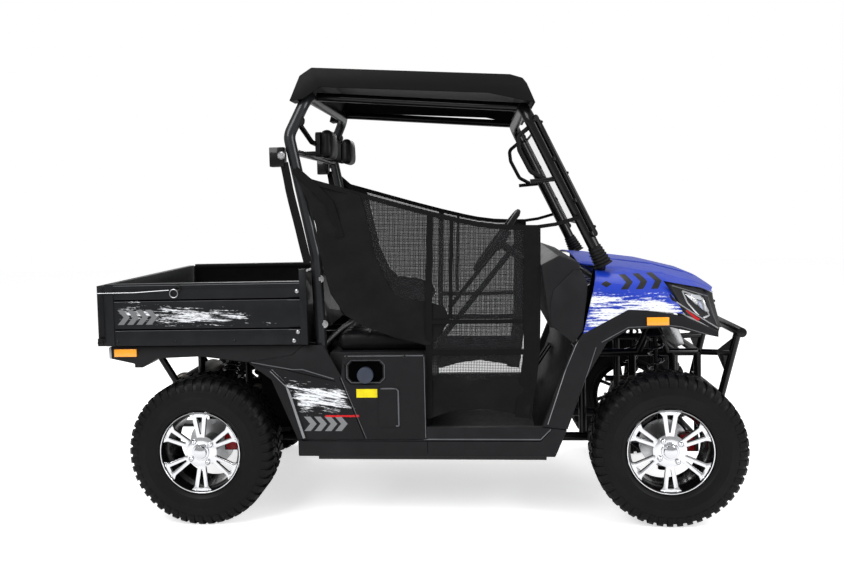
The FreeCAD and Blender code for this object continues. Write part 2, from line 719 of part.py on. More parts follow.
def build_screen_frame():
    """Tubes beside the windscreen, rails across it, and the clamps that hold them to the pillars."""
    y = 549.3
    low, high = SCREEN_HALVES[0][0], SCREEN_HALVES[1][1]
    ahead = Vector(high[1] - low[1], 0, low[0] - high[0]).normalize()
    foot = Vector(low[0], -y, low[1]) + ahead * 2
    head = Vector(high[0], -y, high[1]) + ahead * 2
    along = (head - foot).normalize()
    upright = bar(foot - along * 30, head + along * 12, 9)
    pieces = [upright, mirrored(upright)]
    for share in (0.0, 0.513, 1.0):
        middle = foot + (head - foot) * share + ahead * 9
        pieces.append(bar(middle, Vector(middle.x, y, middle.z), 6))
    pillar_foot, pillar_head = Vector(*PILLAR[1]), Vector(*PILLAR[2])
    for height in (1165, 1300, 1470, 1630):
        share = (height - pillar_foot.z) / (pillar_head.z - pillar_foot.z)
        inner = pillar_foot + (pillar_head - pillar_foot) * share
        outer = foot + along * ((inner - foot).dot(along))
        clamp = bar(inner, outer, 15)
        pieces += [clamp, mirrored(clamp)]
    corners = [foot - along * 60 - ahead * 2.4, head + along * 60 - ahead * 2.4,
               head + along * 60 + ahead * 5.4, foot - along * 60 + ahead * 5.4]
    corners = [Vector(corner.x, -540.3, corner.z) for corner in corners]
    sheet_room = Part.Face(Part.makePolygon(corners + [corners[0]])).extrude(Vector(0, 1080.6, 0))
    way = tube(PILLAR, s.hoop_r + 0.3, 70)
    frame = fused(pieces).cut(way).cut(mirrored(way))
    return shape_node("screen_frame", frame.cut(sheet_room))


# Body panels
def build_sills():
    right = side_plate("sill_right", [("403", "Sizes.sill_z"), ("Sizes.wheelbase - 448", "Sizes.sill_z"),
                                      ("Sizes.wheelbase - 400", "388"), ("Sizes.wheelbase - 500", "400"),
                                      ("935", "400"), ("935", "348"), ("403", "348")],
                       "Sizes.body_half - 30", "30")
    return both_sides("sills", right)


def build_side_panels():
    right = side_plate("side_panel_right",
                       [("405", "350"), ("934.7", "350"), ("934.7", "700"), ("600", "700"),
                        ("590", "610"), ("520", "740"),
                        ("435", "740"), ("390", "700"), ("205", "672"), ("300", "600")],
                       "Sizes.body_half - 6", "6")
    recess = [(605, 597), (627, 575), (753, 575), (775, 597), (775, 658), (753, 680), (627, 680),
              (605, 658)]
    pan = [("%d" % (690 + 1.06 * (x - 690)), "%d" % (627.5 + 1.08 * (z - 627.5))) for x, z in recess]
    pad(right, "XZ_Plane", pan, "Sizes.recess_depth + 4", "Sizes.body_half - Sizes.recess_depth - 4")
    pocket(right, "XZ_Plane", [("%g" % x, "%g" % z) for x, z in recess], "Sizes.recess_depth",
           "Sizes.body_half")
    pad(right, "XZ_Plane", [("404", "351"), ("440", "351"), ("372", "572"), ("302", "640"),
                            ("212", "668"), ("208", "669"),
                            ("300", "600")], "12", "Sizes.body_half - 4")
    pad(right, "XZ_Plane", [("742", "402"), ("829", "402"), ("829", "552"), ("815", "565"),
                            ("756", "565"), ("742", "552")],
        "8", "Sizes.body_half - 4")
    return both_sides("side_panels", right)


def build_rear_fenders():
    right = side_plate("rear_fender_right",
                       [("-385", "690"), ("-285", "668"), ("-285", "652"), ("-250", "652"),
                        ("-190", "690"),
                        ("0", "697"), ("200", "671.6"), ("388.6", "700.3"), ("429.5", "736.7"),
                        ("429.5", "742"), ("-385", "742")],
                       "Sizes.body_half - 150", "150")
    return both_sides("rear_fenders", right)


def build_front_flares():
    right = side_plate("front_flare_right",
                       [("Sizes.wheelbase + 190", "758"), ("Sizes.wheelbase + 190", "781"),
                        ("Sizes.wheelbase + 66", "840"), ("Sizes.wheelbase - 88", "865"),
                        ("Sizes.wheelbase - 156", "868"), ("Sizes.wheelbase - 335", "773"),
                        ("Sizes.wheelbase - 364", "730"), ("Sizes.wheelbase - 498", "402"),
                        ("Sizes.wheelbase - 398", "390"), ("Sizes.wheelbase - 322", "600"),
                        ("Sizes.wheelbase - 237", "743"),
                        ("Sizes.wheelbase - 156", "790"), ("Sizes.wheelbase + 5", "800"),
                        ("Sizes.wheelbase + 40", "790")],
                       "Sizes.body_half - 30", "30")
    return both_sides("front_flares", right)


def build_front_fenders():
    outer = s.body_half
    wires = []
    for x, half, crest, shoulder, foot in HOOD_STATIONS:
        skin_out = [(half + 0.3, shoulder), (B - 68, shoulder - 22), (B - 23, shoulder - 52),
                    (outer, shoulder - 98), (outer, foot)]
        skin_in = [(outer - 6, foot), (outer - 6, shoulder - 96), (B - 28, shoulder - 56),
                   (B - 71, shoulder - 28),
                   (half + 0.3, shoulder - 6)]
        corners = [Vector(x, -y, z) for y, z in skin_out + skin_in]
        wires.append(Part.makePolygon(corners + [corners[0]]))
    skin = Part.makeLoft(wires, True, True)
    outline = [(W - 331, 776), (W - 156, 870), (W - 88, 867), (W + 57, 852), (W - 7.5, 977),
               (W + 150, 943), (W + 205, 920), (W + 200, 1100), (W - 300, 1100),
               (W - 270, 1030)]
    points = [Vector(x, -700, z) for x, z in outline]
    prism = Part.Face(Part.makePolygon(points + [points[0]])).extrude(Vector(0, 500, 0))
    right = max(skin.common(prism).cut(pillar_hole()).Solids, key=lambda solid: solid.Volume)
    return shape_node("front_fenders", Part.makeCompound([right, mirrored(right)]))


def build_cowl_sides():
    right = side_plate("cowl_side_right",
                       [("Sizes.wheelbase - 364", "1030"), ("Sizes.wheelbase - 334", "1030"),
                        ("Sizes.wheelbase - 310", "975"), ("Sizes.wheelbase - 332", "787"),
                        ("Sizes.wheelbase - 369", "737"), ("Sizes.wheelbase - 458", "811"),
                        ("Sizes.wheelbase - 458", "892"), ("Sizes.wheelbase - 445", "951")],
                       "Sizes.body_half - 12", "5.7")
    return both_sides("cowl_sides", right)


def hood_section(x, half, crest, shoulder):
    """Closed strip across the hood at one station."""
    arc_top = Part.Arc(Vector(x, -half, shoulder), Vector(x, 0, crest),
                       Vector(x, half, shoulder)).toShape()
    arc_low = Part.Arc(Vector(x, half, shoulder - 6), Vector(x, 0, crest - 6),
                       Vector(x, -half, shoulder - 6)).toShape()
    left = Part.LineSegment(Vector(x, half, shoulder), Vector(x, half, shoulder - 6)).toShape()
    right = Part.LineSegment(Vector(x, -half, shoulder - 6), Vector(x, -half, shoulder)).toShape()
    return Part.Wire([arc_top, left, arc_low, right])


# Hood stations: x, half width, crest, shoulder and the lower edge of the panel beside it
HOOD_STATIONS = [(W - 333, 472, 1074, 1052, 770), (W - 153, 465, 1052, 1025, 860),
                 (W - 4, 455, 1033, 1000, 855),
                 (W + 143, 425, 995, 958, 845), (W + 210, 395, 966, 928, 845)]


def build_hood():
    stations = [station[:4] for station in HOOD_STATIONS] + [(W + 250, 372, 938, 905),
                                                             (W + 296, 345, 898, 872)]
    wires = [hood_section(*station) for station in stations]
    shell = Part.makeLoft(wires, True, True).cut(pillar_hole())
    nose = [Vector(W - 400, -480, 0), Vector(W + 185, -480, 0), Vector(W + 225, -350, 0),
            Vector(W + 268, -180, 0),
            Vector(W + 282, 0, 0), Vector(W + 268, 180, 0), Vector(W + 225, 350, 0),
            Vector(W + 185, 480, 0), Vector(W - 400, 480, 0)]
    plan = Part.Face(Part.makePolygon(nose + [nose[0]])).extrude(Vector(0, 0, 1200))
    return shape_node("hood", shell.common(plan))


# Fascia stations: upper and lower outer corners, from the side round to the middle of the nose
NOSE_TOP = [(W + 6, 11 - B, 968), (W + 152, -484, 936), (W + 212, -398, 912), (W + 263, -205, 893),
            (W + 287, 0, 886)]
NOSE_LOW = [(W + 72, 3 - B, 846), (W + 194, 35 - B, 792), (W + 250, -400, 768), (W + 280, -205, 762),
            (W + 292, 0, 760)]


def build_nose():
    wires = []
    for top, low in zip(NOSE_TOP, NOSE_LOW):
        back = Vector(-10, 6 if top[1] else 0, 0)
        corners = [Vector(*top), Vector(*low), Vector(*low) + back, Vector(*top) + back]
        wires.append(Part.makePolygon(corners + [corners[0]]))
    right = Part.makeLoft(wires, True, True)
    lens_hole = lens_solid(40, 1.0)
    right = right.cut(lens_hole)
    fascia = right.fuse(mirrored(right)).removeSplitter()
    grille = [block((W + 250, -190, 790 + 20 * row), (W + 278, 190, 799 + 20 * row)) for row in range(4)]
    shape_node("front_fascia", fused([fascia] + grille))
    lamp = lens_solid(14, 0.97)
    return shape_node("headlights", Part.makeCompound([lamp, mirrored(lamp)]))


def lens_solid(depth, scale):
    """Right-hand headlight's body, its face on the fascia's side facet."""
    top = Vector(*NOSE_TOP[0]), Vector(*NOSE_TOP[1])
    low = Vector(*NOSE_LOW[0]), Vector(*NOSE_LOW[1])

    def facet(along, down):
        upper = top[0] + (top[1] - top[0]) * along
        lower = low[0] + (low[1] - low[0]) * along
        return upper + (lower - upper) * down

    corners = [facet(0.34, 0.24), facet(0.86, 0.18), facet(0.93, 0.62), facet(0.80, 0.66)]
    inward = (corners[1] - corners[0]).cross(corners[2] - corners[0]).normalize()
    inward = inward if inward.y > 0 else inward * -1
    middle = sum(corners[1:], corners[0]) / 4
    flat = [middle + (corner - middle) * scale for corner in corners]
    flat[3] = flat[3] - inward * inward.dot(flat[3] - flat[0])
    return skinned([[point - inward * 3 for point in flat], [point + inward * depth for point in flat]])


def build_bumper():
    front = W + s.front_overhang - 20
    pieces = [bar((front, -330, 735), (front, 330, 735), 20)]
    for side in (-1, 1):
        foot = (W + 224.5, side * (F + 2), s.rail_z + 10)
        pieces.append(tube([(front, side * (F + 35), 735), (W + 275, side * (F + 27), 430), foot], 16))
        pieces.append(bar((W + 206.7, side * (F + 1), s.nose_rail_z),
                          (W + 325, side * (F + 33), s.nose_rail_z), 13))
        gusset = [Vector(W + 297, side * (F + 32), 560), Vector(W + 345, side * (F + 35), 716),
                  Vector(W + 262, side * (F + 32), 648)]
        plate = Part.Face(Part.makePolygon(gusset + [gusset[0]])).extrude(Vector(0, side * -6, 0))
        pieces.append(plate)
    pieces.append(bar((W + 282, -F - 27, 455), (W + 282, F + 27, 455), 13))
    return shape_node("front_bumper", fused(pieces))


def build_radiator():
    core = block((0, 35 - F, 0), (34, F - 35, 230))
    core.rotate(Vector(0, 0, 0), Vector(0, 1, 0), -18)
    core.translate(Vector(W + 112, 0, s.nose_rail_z + s.tube_r + 0.3))
    return shape_node("radiator", core)


# Cab interior
def build_floor():
    low = s.rail_z + s.rail_r + s.joint_gap
    points = [(505, low), (W - 500, low), (W - 380, 620), (W - 365, 795)]
    outer = [Vector(x, -520, z) for x, z in points]
    inner = [Vector(x - 4, -520, z + 4) for x, z in reversed(points)]
    face = Part.Face(Part.makePolygon(outer + inner + [outer[0]]))
    return shape_node("floor_pan", face.extrude(Vector(0, 1040, 0)))


def pad_block(low, high, face, round_by):
    """Pad with slanted edges round the face that looks along the given axis, and a step round its back."""
    across, up = [axis for axis in range(3) if axis != face]
    loops = []
    for share, inset in ((0.0, 0.3), (0.12, 0.0), (0.62, 0.0), (0.88, 0.35), (1.0, 1.0)):
        step = inset * round_by
        depth = low[face] + share * (high[face] - low[face])
        corners = []
        for first, second in ((0, 0), (1, 0), (1, 1), (0, 1)):
            edges = [(low, high)[first][across] + (step if first == 0 else -step),
                     (low, high)[second][up] + (step if second == 0 else -step)]
            cut = round_by * 0.7
            steps = ((0, cut), (cut, 0)) if first == second else ((cut, 0), (0, cut))
            for along, rise in steps:
                point = [0.0, 0.0, 0.0]
                point[face] = depth
                point[across] = edges[0] + (along if first == 0 else -along)
                point[up] = edges[1] + (rise if second == 0 else -rise)
                corners.append(Vector(*point))
        loops.append(corners)
    return skinned(loops)


def build_seats():
    base = new_body("seat_base_body")
    pad(base, "XZ_Plane", [("535", "293.6"), ("930", "293.6"), ("930", "700"), ("535", "700")], "1080",
        middle=True)
    pocket(base, "XZ_Plane", [("545", "290"), ("920", "290"), ("920", "690"), ("545", "690")], "1060",
           middle=True)
    place(base, "seat_base")
    cushions = []
    backs = []
    rests = []
    for side in (-1, 1):
        middle = side * s.seat_y
        cushions.append(pad_block((545, middle - 225, 700.3), (1000, middle + 225, 790), 2, 26))
        back = pad_block((0, middle - 225, 0), (100, middle + 225, 530), 0, 34)
        back.rotate(Vector(0, 0, 0), Vector(0, 1, 0), -s.seat_lean)
        back.translate(Vector(570.5, 0, 812))
        backs.append(back)
        rests.append(pad_block((470, middle - 105, 1500), (555, middle + 105, 1650), 0, 30))
    shape_node("seat_cushions", Part.makeCompound(cushions))
    shape_node("seat_backs", Part.makeCompound(backs))
    return shape_node("headrests", Part.makeCompound(rests))


def build_dashboard():
    profile = [(W - 460, 799.4), (W - 360, 799.4), (W - 340, 1010), (W - 340, 1060), (W - 420, 1090),
               (W - 492, 1053)]
    half = s.body_half - 12.3
    points = [Vector(x, -half, z) for x, z in profile]
    face = Part.Face(Part.makePolygon(points + [points[0]]))
    return shape_node("dashboard", face.extrude(Vector(0, 2 * half, 0)))


STEERING_TOP = Vector(W - 650, 300, 1117)
STEERING_DOWN = Vector(0.794, 0, -0.608)


def build_steering():
    top = STEERING_TOP
    down = Vector(STEERING_DOWN).normalize()
    column = Part.makeCylinder(20, 250, top + down * 40.3, down)
    dash = next(node for node in NODES if node.Label == "dashboard").Shape
    shape_node("steering_column", column.cut(dash))
    section = circle_of(14, 0, 8)
    turn_to = FreeCAD.Rotation(Vector(0, 0, 1), down)
    loops = []
    for index in range(24):
        step = FreeCAD.Rotation(Vector(0, 0, 1), 15 * index)
        loops.append([top + turn_to * (step * Vector(s.wheel_rim_r + point.x, 0,
                                                     point.y)) for point in section])
    wheel = skinned(loops, joined_ends=True)
    hub = Part.makeCylinder(36, 40, top, down)
    across = Vector(0, 1, 0)
    upward = down.cross(across).normalize()
    spokes = []
    for direction in (across, across * -1, upward):
        spokes.append(Part.makeCylinder(10, s.wheel_rim_r - 6, top + down * 8, direction))
    return shape_node("steering_wheel", fused([wheel, hub] + spokes))


def build_pedals():
    pieces = []
    for y in (240, 330):
        pad_plate = block((W - 505, y - 35, 420), (W - 497, y + 35, 490))
        lever = bar((W - 497, y, 455), (W - 400.4, y, 600), 7)
        pieces.append(fused([pad_plate, lever]))
    return shape_node("pedals", Part.makeCompound(pieces))


def build_belts():
    retractor = block((316, -590, 1476), (376.6, -530, 1556))
    return shape_node("seat_belts", Part.makeCompound([retractor, mirrored(retractor)]))


def build_nets():
    right = side_plate("door_net_right",
                       [("409", "1465"), ("486", "1416"), ("684", "1361"), ("970", "1273"),
                        ("Sizes.wheelbase - 743", "1223"),
                        ("Sizes.wheelbase - 600", "1212"), ("Sizes.wheelbase - 500", "1215"),
                        ("Sizes.wheelbase - 500", "700"), ("Sizes.wheelbase - 570", "440"),
                        ("960", "400"),
                        ("940", "720"), ("520", "900")],
                       "Sizes.cab_half + 4.3", "4")
    return both_sides("door_nets", right)


def build_lights():
    amber = block((W - 85, -B - 11, 808), (W, -B - 0.3, 840))
    rear_amber = block((-368, -B - 11, 700), (-272, -B - 0.3, 732))
    shape_node("side_markers", Part.makeCompound([amber, mirrored(amber), rear_amber,
                                                  mirrored(rear_amber)]))
    tail = block((-396, 3 - B, 690), (-385.3, 133 - B, 738))
    return shape_node("tail_lamps", Part.makeCompound([tail, mirrored(tail)]))


def build_fuel_cap():
    cap = bar((690, 15.7 - B, 615), (690, -B - 9, 615), 33)
    return shape_node("fuel_cap", cap)


def build_handles():
    loop = tube([(W - 520, -528, 1612), (W - 573, -528, 1570), (W - 567, -528, 1515),
                 (W - 523, -528, 1427), (W - 460, -528, 1392)], 9,
                30)
    loop = loop.cut(bar((W - 248, -520, 1062), (W - 548, -530, 1690), s.hoop_r + 0.3)).Solids[0]
    return shape_node("grab_handles", Part.makeCompound([loop, mirrored(loop)]))


build_frame_base()
build_frame_rear()
build_frame_front()
build_front_arms()
build_rear_arms()
build_shocks()
build_rear_axle()
build_engine()
build_muffler()
build_knuckle("knuckle_right", -1)
build_knuckle("knuckle_left", 1)
build_tie_rods()
for end, x, width, face in (("rear", 0, s.rear_tyre_w, s.rear_tyre_face),
                            ("front", s.wheelbase, s.front_tyre_w, s.front_tyre_face)):
    for name, side in (("right", -1), ("left", 1)):
        build_tyre("%s_%s" % (end, name), x, side, width, face)
        build_rim("%s_%s" % (end, name), x, side, width, face)
build_bed()
build_tailgate()
build_strut()
build_rops()
build_roof()
build_windscreen()
build_screen_frame()
build_sills()
build_side_panels()
build_rear_fenders()
build_front_flares()
build_front_fenders()
build_cowl_sides()
build_hood()
build_nose()
build_bumper()
build_radiator()
build_floor()
build_seats()
build_dashboard()
build_steering()
build_pedals()
build_belts()
build_nets()
build_lights()
build_fuel_cap()
build_handles()
doc.recompute()

for item in doc.Objects:
    if "Invalid" in item.State or "Error" in item.State:
        raise ValueError("%s failed to build" % item.Label)
for node in NODES:
    if node.Shape.isNull() or not node.Shape.isValid():
        raise ValueError("%s has no valid shape" % node.Label)
for node in NODES:
    node.Shape.exportStep("parts/%s.step" % node.Label)
    box = node.Shape.BoundBox
    print("%-18s solids %d  x %7.1f %7.1f  y %7.1f %7.1f  z %7.1f %7.1f" % (
        node.Label, len(node.Shape.Solids), box.XMin, box.XMax, box.YMin, box.YMax, box.ZMin, box.ZMax))
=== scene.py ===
"""Looks of the side by side utility vehicle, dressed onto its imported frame."""

import json
import logging
import math
from dataclasses import dataclass
from enum import Enum
from typing import Callable, Iterable, Sequence

import bmesh
import bpy
from mathutils import Matrix, Vector
from mathutils.bvhtree import BVHTree

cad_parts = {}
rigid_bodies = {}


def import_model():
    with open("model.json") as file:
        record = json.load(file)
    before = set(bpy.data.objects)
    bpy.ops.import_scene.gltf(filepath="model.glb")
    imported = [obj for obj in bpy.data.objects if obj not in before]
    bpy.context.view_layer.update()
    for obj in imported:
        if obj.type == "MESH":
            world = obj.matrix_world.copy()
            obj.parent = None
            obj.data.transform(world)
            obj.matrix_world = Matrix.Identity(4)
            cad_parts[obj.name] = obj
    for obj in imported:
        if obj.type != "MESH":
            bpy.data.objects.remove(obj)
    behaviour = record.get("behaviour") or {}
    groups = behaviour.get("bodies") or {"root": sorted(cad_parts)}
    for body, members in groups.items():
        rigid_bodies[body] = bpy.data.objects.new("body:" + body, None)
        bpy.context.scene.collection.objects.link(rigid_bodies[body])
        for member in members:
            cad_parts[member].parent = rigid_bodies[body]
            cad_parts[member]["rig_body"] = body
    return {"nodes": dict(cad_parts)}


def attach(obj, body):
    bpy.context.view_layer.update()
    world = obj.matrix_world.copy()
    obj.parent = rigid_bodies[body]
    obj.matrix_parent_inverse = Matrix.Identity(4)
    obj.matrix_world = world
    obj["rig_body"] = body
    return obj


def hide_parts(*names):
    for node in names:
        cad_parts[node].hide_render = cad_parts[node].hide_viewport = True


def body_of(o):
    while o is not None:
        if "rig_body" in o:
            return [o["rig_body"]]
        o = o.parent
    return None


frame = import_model()

LOG = logging.getLogger("utility_vehicle")
REAR_AXLE_X = -0.921
WHEELBASE = 1900
MM = 0.001
AXIS_GAP = 0.01
PATCH_SINK = 1.0
FLANK = 605.0
LAMP_FACE = 560.0
CORNER_FACE = 590.0
AXLE_LINE = Vector((0, 1, 0))

Colour = tuple[float, float, float]
Point = tuple[float, float]
Piece = bpy.types.Object
Material = bpy.types.Material
Socket = bpy.types.NodeSocket
Tree = bpy.types.NodeTree
Painted = tuple[Piece, Material]


def at(x: float, y: float, z: float) -> Vector:
    """Place in the frame of a point given in millimetres from the rear axle, the middle and the ground."""
    return Vector((REAR_AXLE_X + x * MM, y * MM, z * MM))


def shade(red: float, green: float, blue: float) -> Colour:
    """Linear colour of a tone given as it shows on a screen, 0 to 255.

    Args:
        red: red tone.
        green: green tone.
        blue: blue tone.

    Returns:
        The colour.
    """

    def linear(value: float) -> float:
        """One channel, from 0 to 255, on the linear scale."""
        share = value / 255
        return share / 12.92 if share <= 0.04045 else ((share + 0.055) / 1.055) ** 2.4

    return linear(red), linear(green), linear(blue)


class Side(Enum):
    """Side of the vehicle."""

    RIGHT = -1
    LEFT = 1


class Axle(Enum):
    """End of the vehicle that a wheel stands at, with its distance ahead of the rear axle in millimetres."""

    REAR = 0
    FRONT = WHEELBASE


# Patterns
class Field:
    """Number that varies over a surface, held as an output of a material's nodes."""

    def __init__(self, tree: Tree, output: Socket) -> None:
        """Keeps the tree and the output that carries the number."""
        self.tree = tree
        self.output = output

    def worked(self, operation: str, *others: "Field | float") -> "Field":
        """Result of one step of arithmetic.

        Args:
            operation: name of the step.
            others: what it is worked with.

        Returns:
            The new number.
        """
        node = self.tree.nodes.new("ShaderNodeMath")
        node.operation = operation
        for socket, value in zip(node.inputs, (self, *others)):
            if isinstance(value, Field):
                self.tree.links.new(value.output, socket)
            else:
                socket.default_value = value
        return Field(self.tree, node.outputs[0])

    def __add__(self, other: "Field | float") -> "Field":
        """Sum."""
        return self.worked("ADD", other)

    def __sub__(self, other: "Field | float") -> "Field":
        """Difference."""
        return self.worked("SUBTRACT", other)

    def __mul__(self, other: "Field | float") -> "Field":
        """Product."""
        return self.worked("MULTIPLY", other)

    def above(self, limit: "Field | float") -> "Field":
        """One where the number is over the limit, else zero."""
        return self.worked("GREATER_THAN", limit)

    def below(self, limit: "Field | float") -> "Field":
        """One where the number is under the limit, else zero."""
        return self.worked("LESS_THAN", limit)

    def between(self, low: float, high: float) -> "Field":
        """One between two limits, else zero."""
        return self.above(low) * self.below(high)

    def size(self) -> "Field":
        """The number without its sign."""
        return self.worked("ABSOLUTE")

    def repeat(self, length: float) -> "Field":
        """Share of the way through each repeat of the given length."""
        return (self * (1 / length)).worked("FRACT")

    def most(self, other: "Field | float") -> "Field":
        """The larger of two numbers."""
        return self.worked("MAXIMUM", other)

    def ramp(self, low: float, high: float) -> "Field":
        """Smooth climb from zero at the low value to one at the high value.

        Args:
            low: where the climb starts.
            high: where it ends.

        Returns:
            The climb.
        """
        node = self.tree.nodes.new("ShaderNodeMapRange")
        node.interpolation_type = "SMOOTHSTEP"
        self.tree.links.new(self.output, node.inputs["Value"])
        node.inputs["From Min"].default_value = low
        node.inputs["From Max"].default_value = high
        return Field(self.tree, node.outputs["Result"])


class Surface:
    """Material under construction, with its shader and the numbers its patterns start from."""

    def __init__(self, name: str) -> None:
        """Starts a material of the given name.

        Args:
            name: name of the material.
        """
        self.material = bpy.data.materials.new(name)
        self.material.use_nodes = True
        self.tree = self.material.node_tree
        self.shader = self.tree.nodes["Principled BSDF"]
        self.place = self.tree.nodes.new("ShaderNodeTexCoord").outputs["Object"]

    def set(self, **values: float | Colour) -> None:
        """Sets uniform values on the shader's own sockets, underscores standing for spaces.

        Args:
            values: value of each socket by its name.
        """
        for key, value in values.items():
            socket = self.shader.inputs[key.replace("_", " ")]
            socket.default_value = (*value, 1.0) if isinstance(value, tuple) else value

    def axes(self) -> tuple[Field, Field, Field]:
        """Distance from the rear axle, from the middle and from the ground, in millimetres.

        Returns:
            The three distances.
        """
        split = self.tree.nodes.new("ShaderNodeSeparateXYZ")
        self.tree.links.new(self.place, split.inputs[0])
        x, y, z = (Field(self.tree, output) for output in split.outputs)
        return (x - REAR_AXLE_X) * 1000.0, y * 1000.0, z * 1000.0

    def _scaled(self, stretch: Sequence[float]) -> Socket:
        """Place stretched along each axis.

        Args:
            stretch: factor along each axis.

        Returns:
            The stretched place.
        """
        mapping = self.tree.nodes.new("ShaderNodeMapping")
        self.tree.links.new(self.place, mapping.inputs["Vector"])
        mapping.inputs["Scale"].default_value = stretch
        return mapping.outputs["Vector"]

    def noise(self, scale: float, detail: float = 3.0, stretch: Sequence[float] = (1, 1, 1)) -> Field:
        """Cloudy noise.

        Args:
            scale: repeats per metre.
            detail: number of finer layers.
            stretch: how much tighter it is along each axis.

        Returns:
            The noise, from zero to one.
        """
        node = self.tree.nodes.new("ShaderNodeTexNoise")
        self.tree.links.new(self._scaled(stretch), node.inputs["Vector"])
        node.inputs["Scale"].default_value = scale
        node.inputs["Detail"].default_value = detail
        return Field(self.tree, node.outputs["Fac"])

    def streaky(self, along: Field, across: Field, length: float, width: float) -> Field:
        """Noise drawn out in one direction of a flat face.

        Args:
            along: distance in the direction of the streaks.
            across: distance square to it.
            length: typical length of a streak.
            width: typical width of a streak.

        Returns:
            The noise, from zero to one.
        """
        joined = self.tree.nodes.new("ShaderNodeCombineXYZ")
        self.tree.links.new((along * (1 / length)).output, joined.inputs[0])
        self.tree.links.new((across * (1 / width)).output, joined.inputs[1])
        node = self.tree.nodes.new("ShaderNodeTexNoise")
        self.tree.links.new(joined.outputs[0], node.inputs["Vector"])
        node.inputs["Scale"].default_value = 1.0
        node.inputs["Detail"].default_value = 4.0
        return Field(self.tree, node.outputs["Fac"])

    def cells(self, scale: float, feature: str = "F1") -> Field:
        """Distance inside pebble-like cells, the given number to the metre.

        Args:
            scale: cells to the metre.
            feature: kind of distance.

        Returns:
            The distance.
        """
        node = self.tree.nodes.new("ShaderNodeTexVoronoi")
        node.feature = feature
        self.tree.links.new(self.place, node.inputs["Vector"])
        node.inputs["Scale"].default_value = scale
        return Field(self.tree, node.outputs["Distance"])

    def colour(self, base: Colour, layers: Iterable[tuple[Field, Colour]]) -> None:
        """Lays colours over a base, each where its mask is one.

        Args:
            base: colour under all layers.
            layers: pairs of mask and colour, from the lowest up.
        """
        current: Socket | None = None
        for mask, tone in layers:
            mix = self.tree.nodes.new("ShaderNodeMix")
            mix.data_type = "RGBA"
            self.tree.links.new(mask.output, mix.inputs[0])
            if current is None:
                mix.inputs[6].default_value = (*base, 1)
            else:
                self.tree.links.new(current, mix.inputs[6])
            mix.inputs[7].default_value = (*tone, 1)
            current = mix.outputs[2]
        if current is not None:
            self.tree.links.new(current, self.shader.inputs["Base Color"])

    def drive(self, socket: str, value: Field) -> None:
        """Feeds a varying number to one of the shader's sockets."""
        self.tree.links.new(value.output, self.shader.inputs[socket])

    def bump(self, height: Field, depth: float) -> None:
        """Relief from a varying number, its full depth in millimetres.

        Args:
            height: height, from zero to one.
            depth: depth at a height of one.
        """
        node = self.tree.nodes.new("ShaderNodeBump")
        node.inputs["Distance"].default_value = depth * MM
        node.inputs["Strength"].default_value = 1.0
        self.tree.links.new(height.output, node.inputs["Height"])
        self.tree.links.new(node.outputs["Normal"], self.shader.inputs["Normal"])


# Finishes
@dataclass(frozen=True)
class Finish:
    """Plain finish with a fine grain and a slight change of tone over the piece.

    Attributes:
        name: name of the material.
        tone: main colour.
        rough: roughness in the middle of its range.
        metal: how metallic it is.
        coat: weight of a clear coat.
        grain: size of the grain in millimetres.
        depth: height of the grain in millimetres.
        mottle: share by which the tone varies.
        gloss: level of the plain reflection.
    """

    name: str
    tone: Colour
    rough: float = 0.5
    metal: float = 0.0
    coat: float = 0.0
    grain: float = 2.0
    depth: float = 0.05
    mottle: float = 0.15
    gloss: float = 0.14

    def layers(self, surface: Surface) -> list[tuple[Field, Colour]]:
        """Colours laid over the main tone.

        Args:
            surface: material under construction.

        Returns:
            Pairs of mask and colour.
        """
        cloud = surface.noise(9.0, 4.0)
        dark = tuple(value * (1 - self.mottle) for value in self.tone)
        light = tuple(min(1.0, value * (1 + self.mottle)) for value in self.tone)
        return [(cloud.ramp(0.35, 0.5) * 0.8, dark), (cloud.ramp(0.5, 0.7) * 0.8, light)]

    def relief(self, surface: Surface) -> Field:
        """Height of the grain."""
        return surface.noise(1000 / self.grain, 2.0)

    def make(self) -> Material:
        """Builds the material.

        Returns:
            The material.
        """
        surface = Surface(self.name)
        surface.set(Metallic=self.metal, Coat_Weight=self.coat, Coat_Roughness=0.06,
                    Specular_IOR_Level=self.gloss)
        surface.colour(self.tone, self.layers(surface))
        surface.drive("Roughness", surface.noise(40.0, 3.0) * 0.16 + (self.rough - 0.08))
        surface.bump(self.relief(surface), self.depth)
        return surface.material


@dataclass(frozen=True)
class Pebbled(Finish):
    """Moulded plastic or vinyl with pebble grain."""

    def relief(self, surface: Surface) -> Field:
        """Pebbles with a little cloud between them."""
        return surface.cells(1000 / self.grain) + surface.noise(300 / self.grain, 2.0) * 0.4


@dataclass(frozen=True)
class Machined(Finish):
    """Bright metal with fine turning marks."""

    def relief(self, surface: Surface) -> Field:
        """Fine marks drawn out round the piece."""
        return surface.noise(1000 / self.grain, 3.0, (1, 4, 1))


@dataclass(frozen=True)
class Woven(Finish):
    """Fabric of crossed threads, its grain the width of one thread."""

    def relief(self, surface: Surface) -> Field:
        """Threads that pass over and under each other.

        Args:
            surface: material under construction.

        Returns:
            Height of the threads.
        """
        x, _, z = surface.axes()
        along = (x.repeat(2 * self.grain) - 0.5).size()
        across = (z.repeat(2 * self.grain) - 0.5).size()
        return along.most(across)


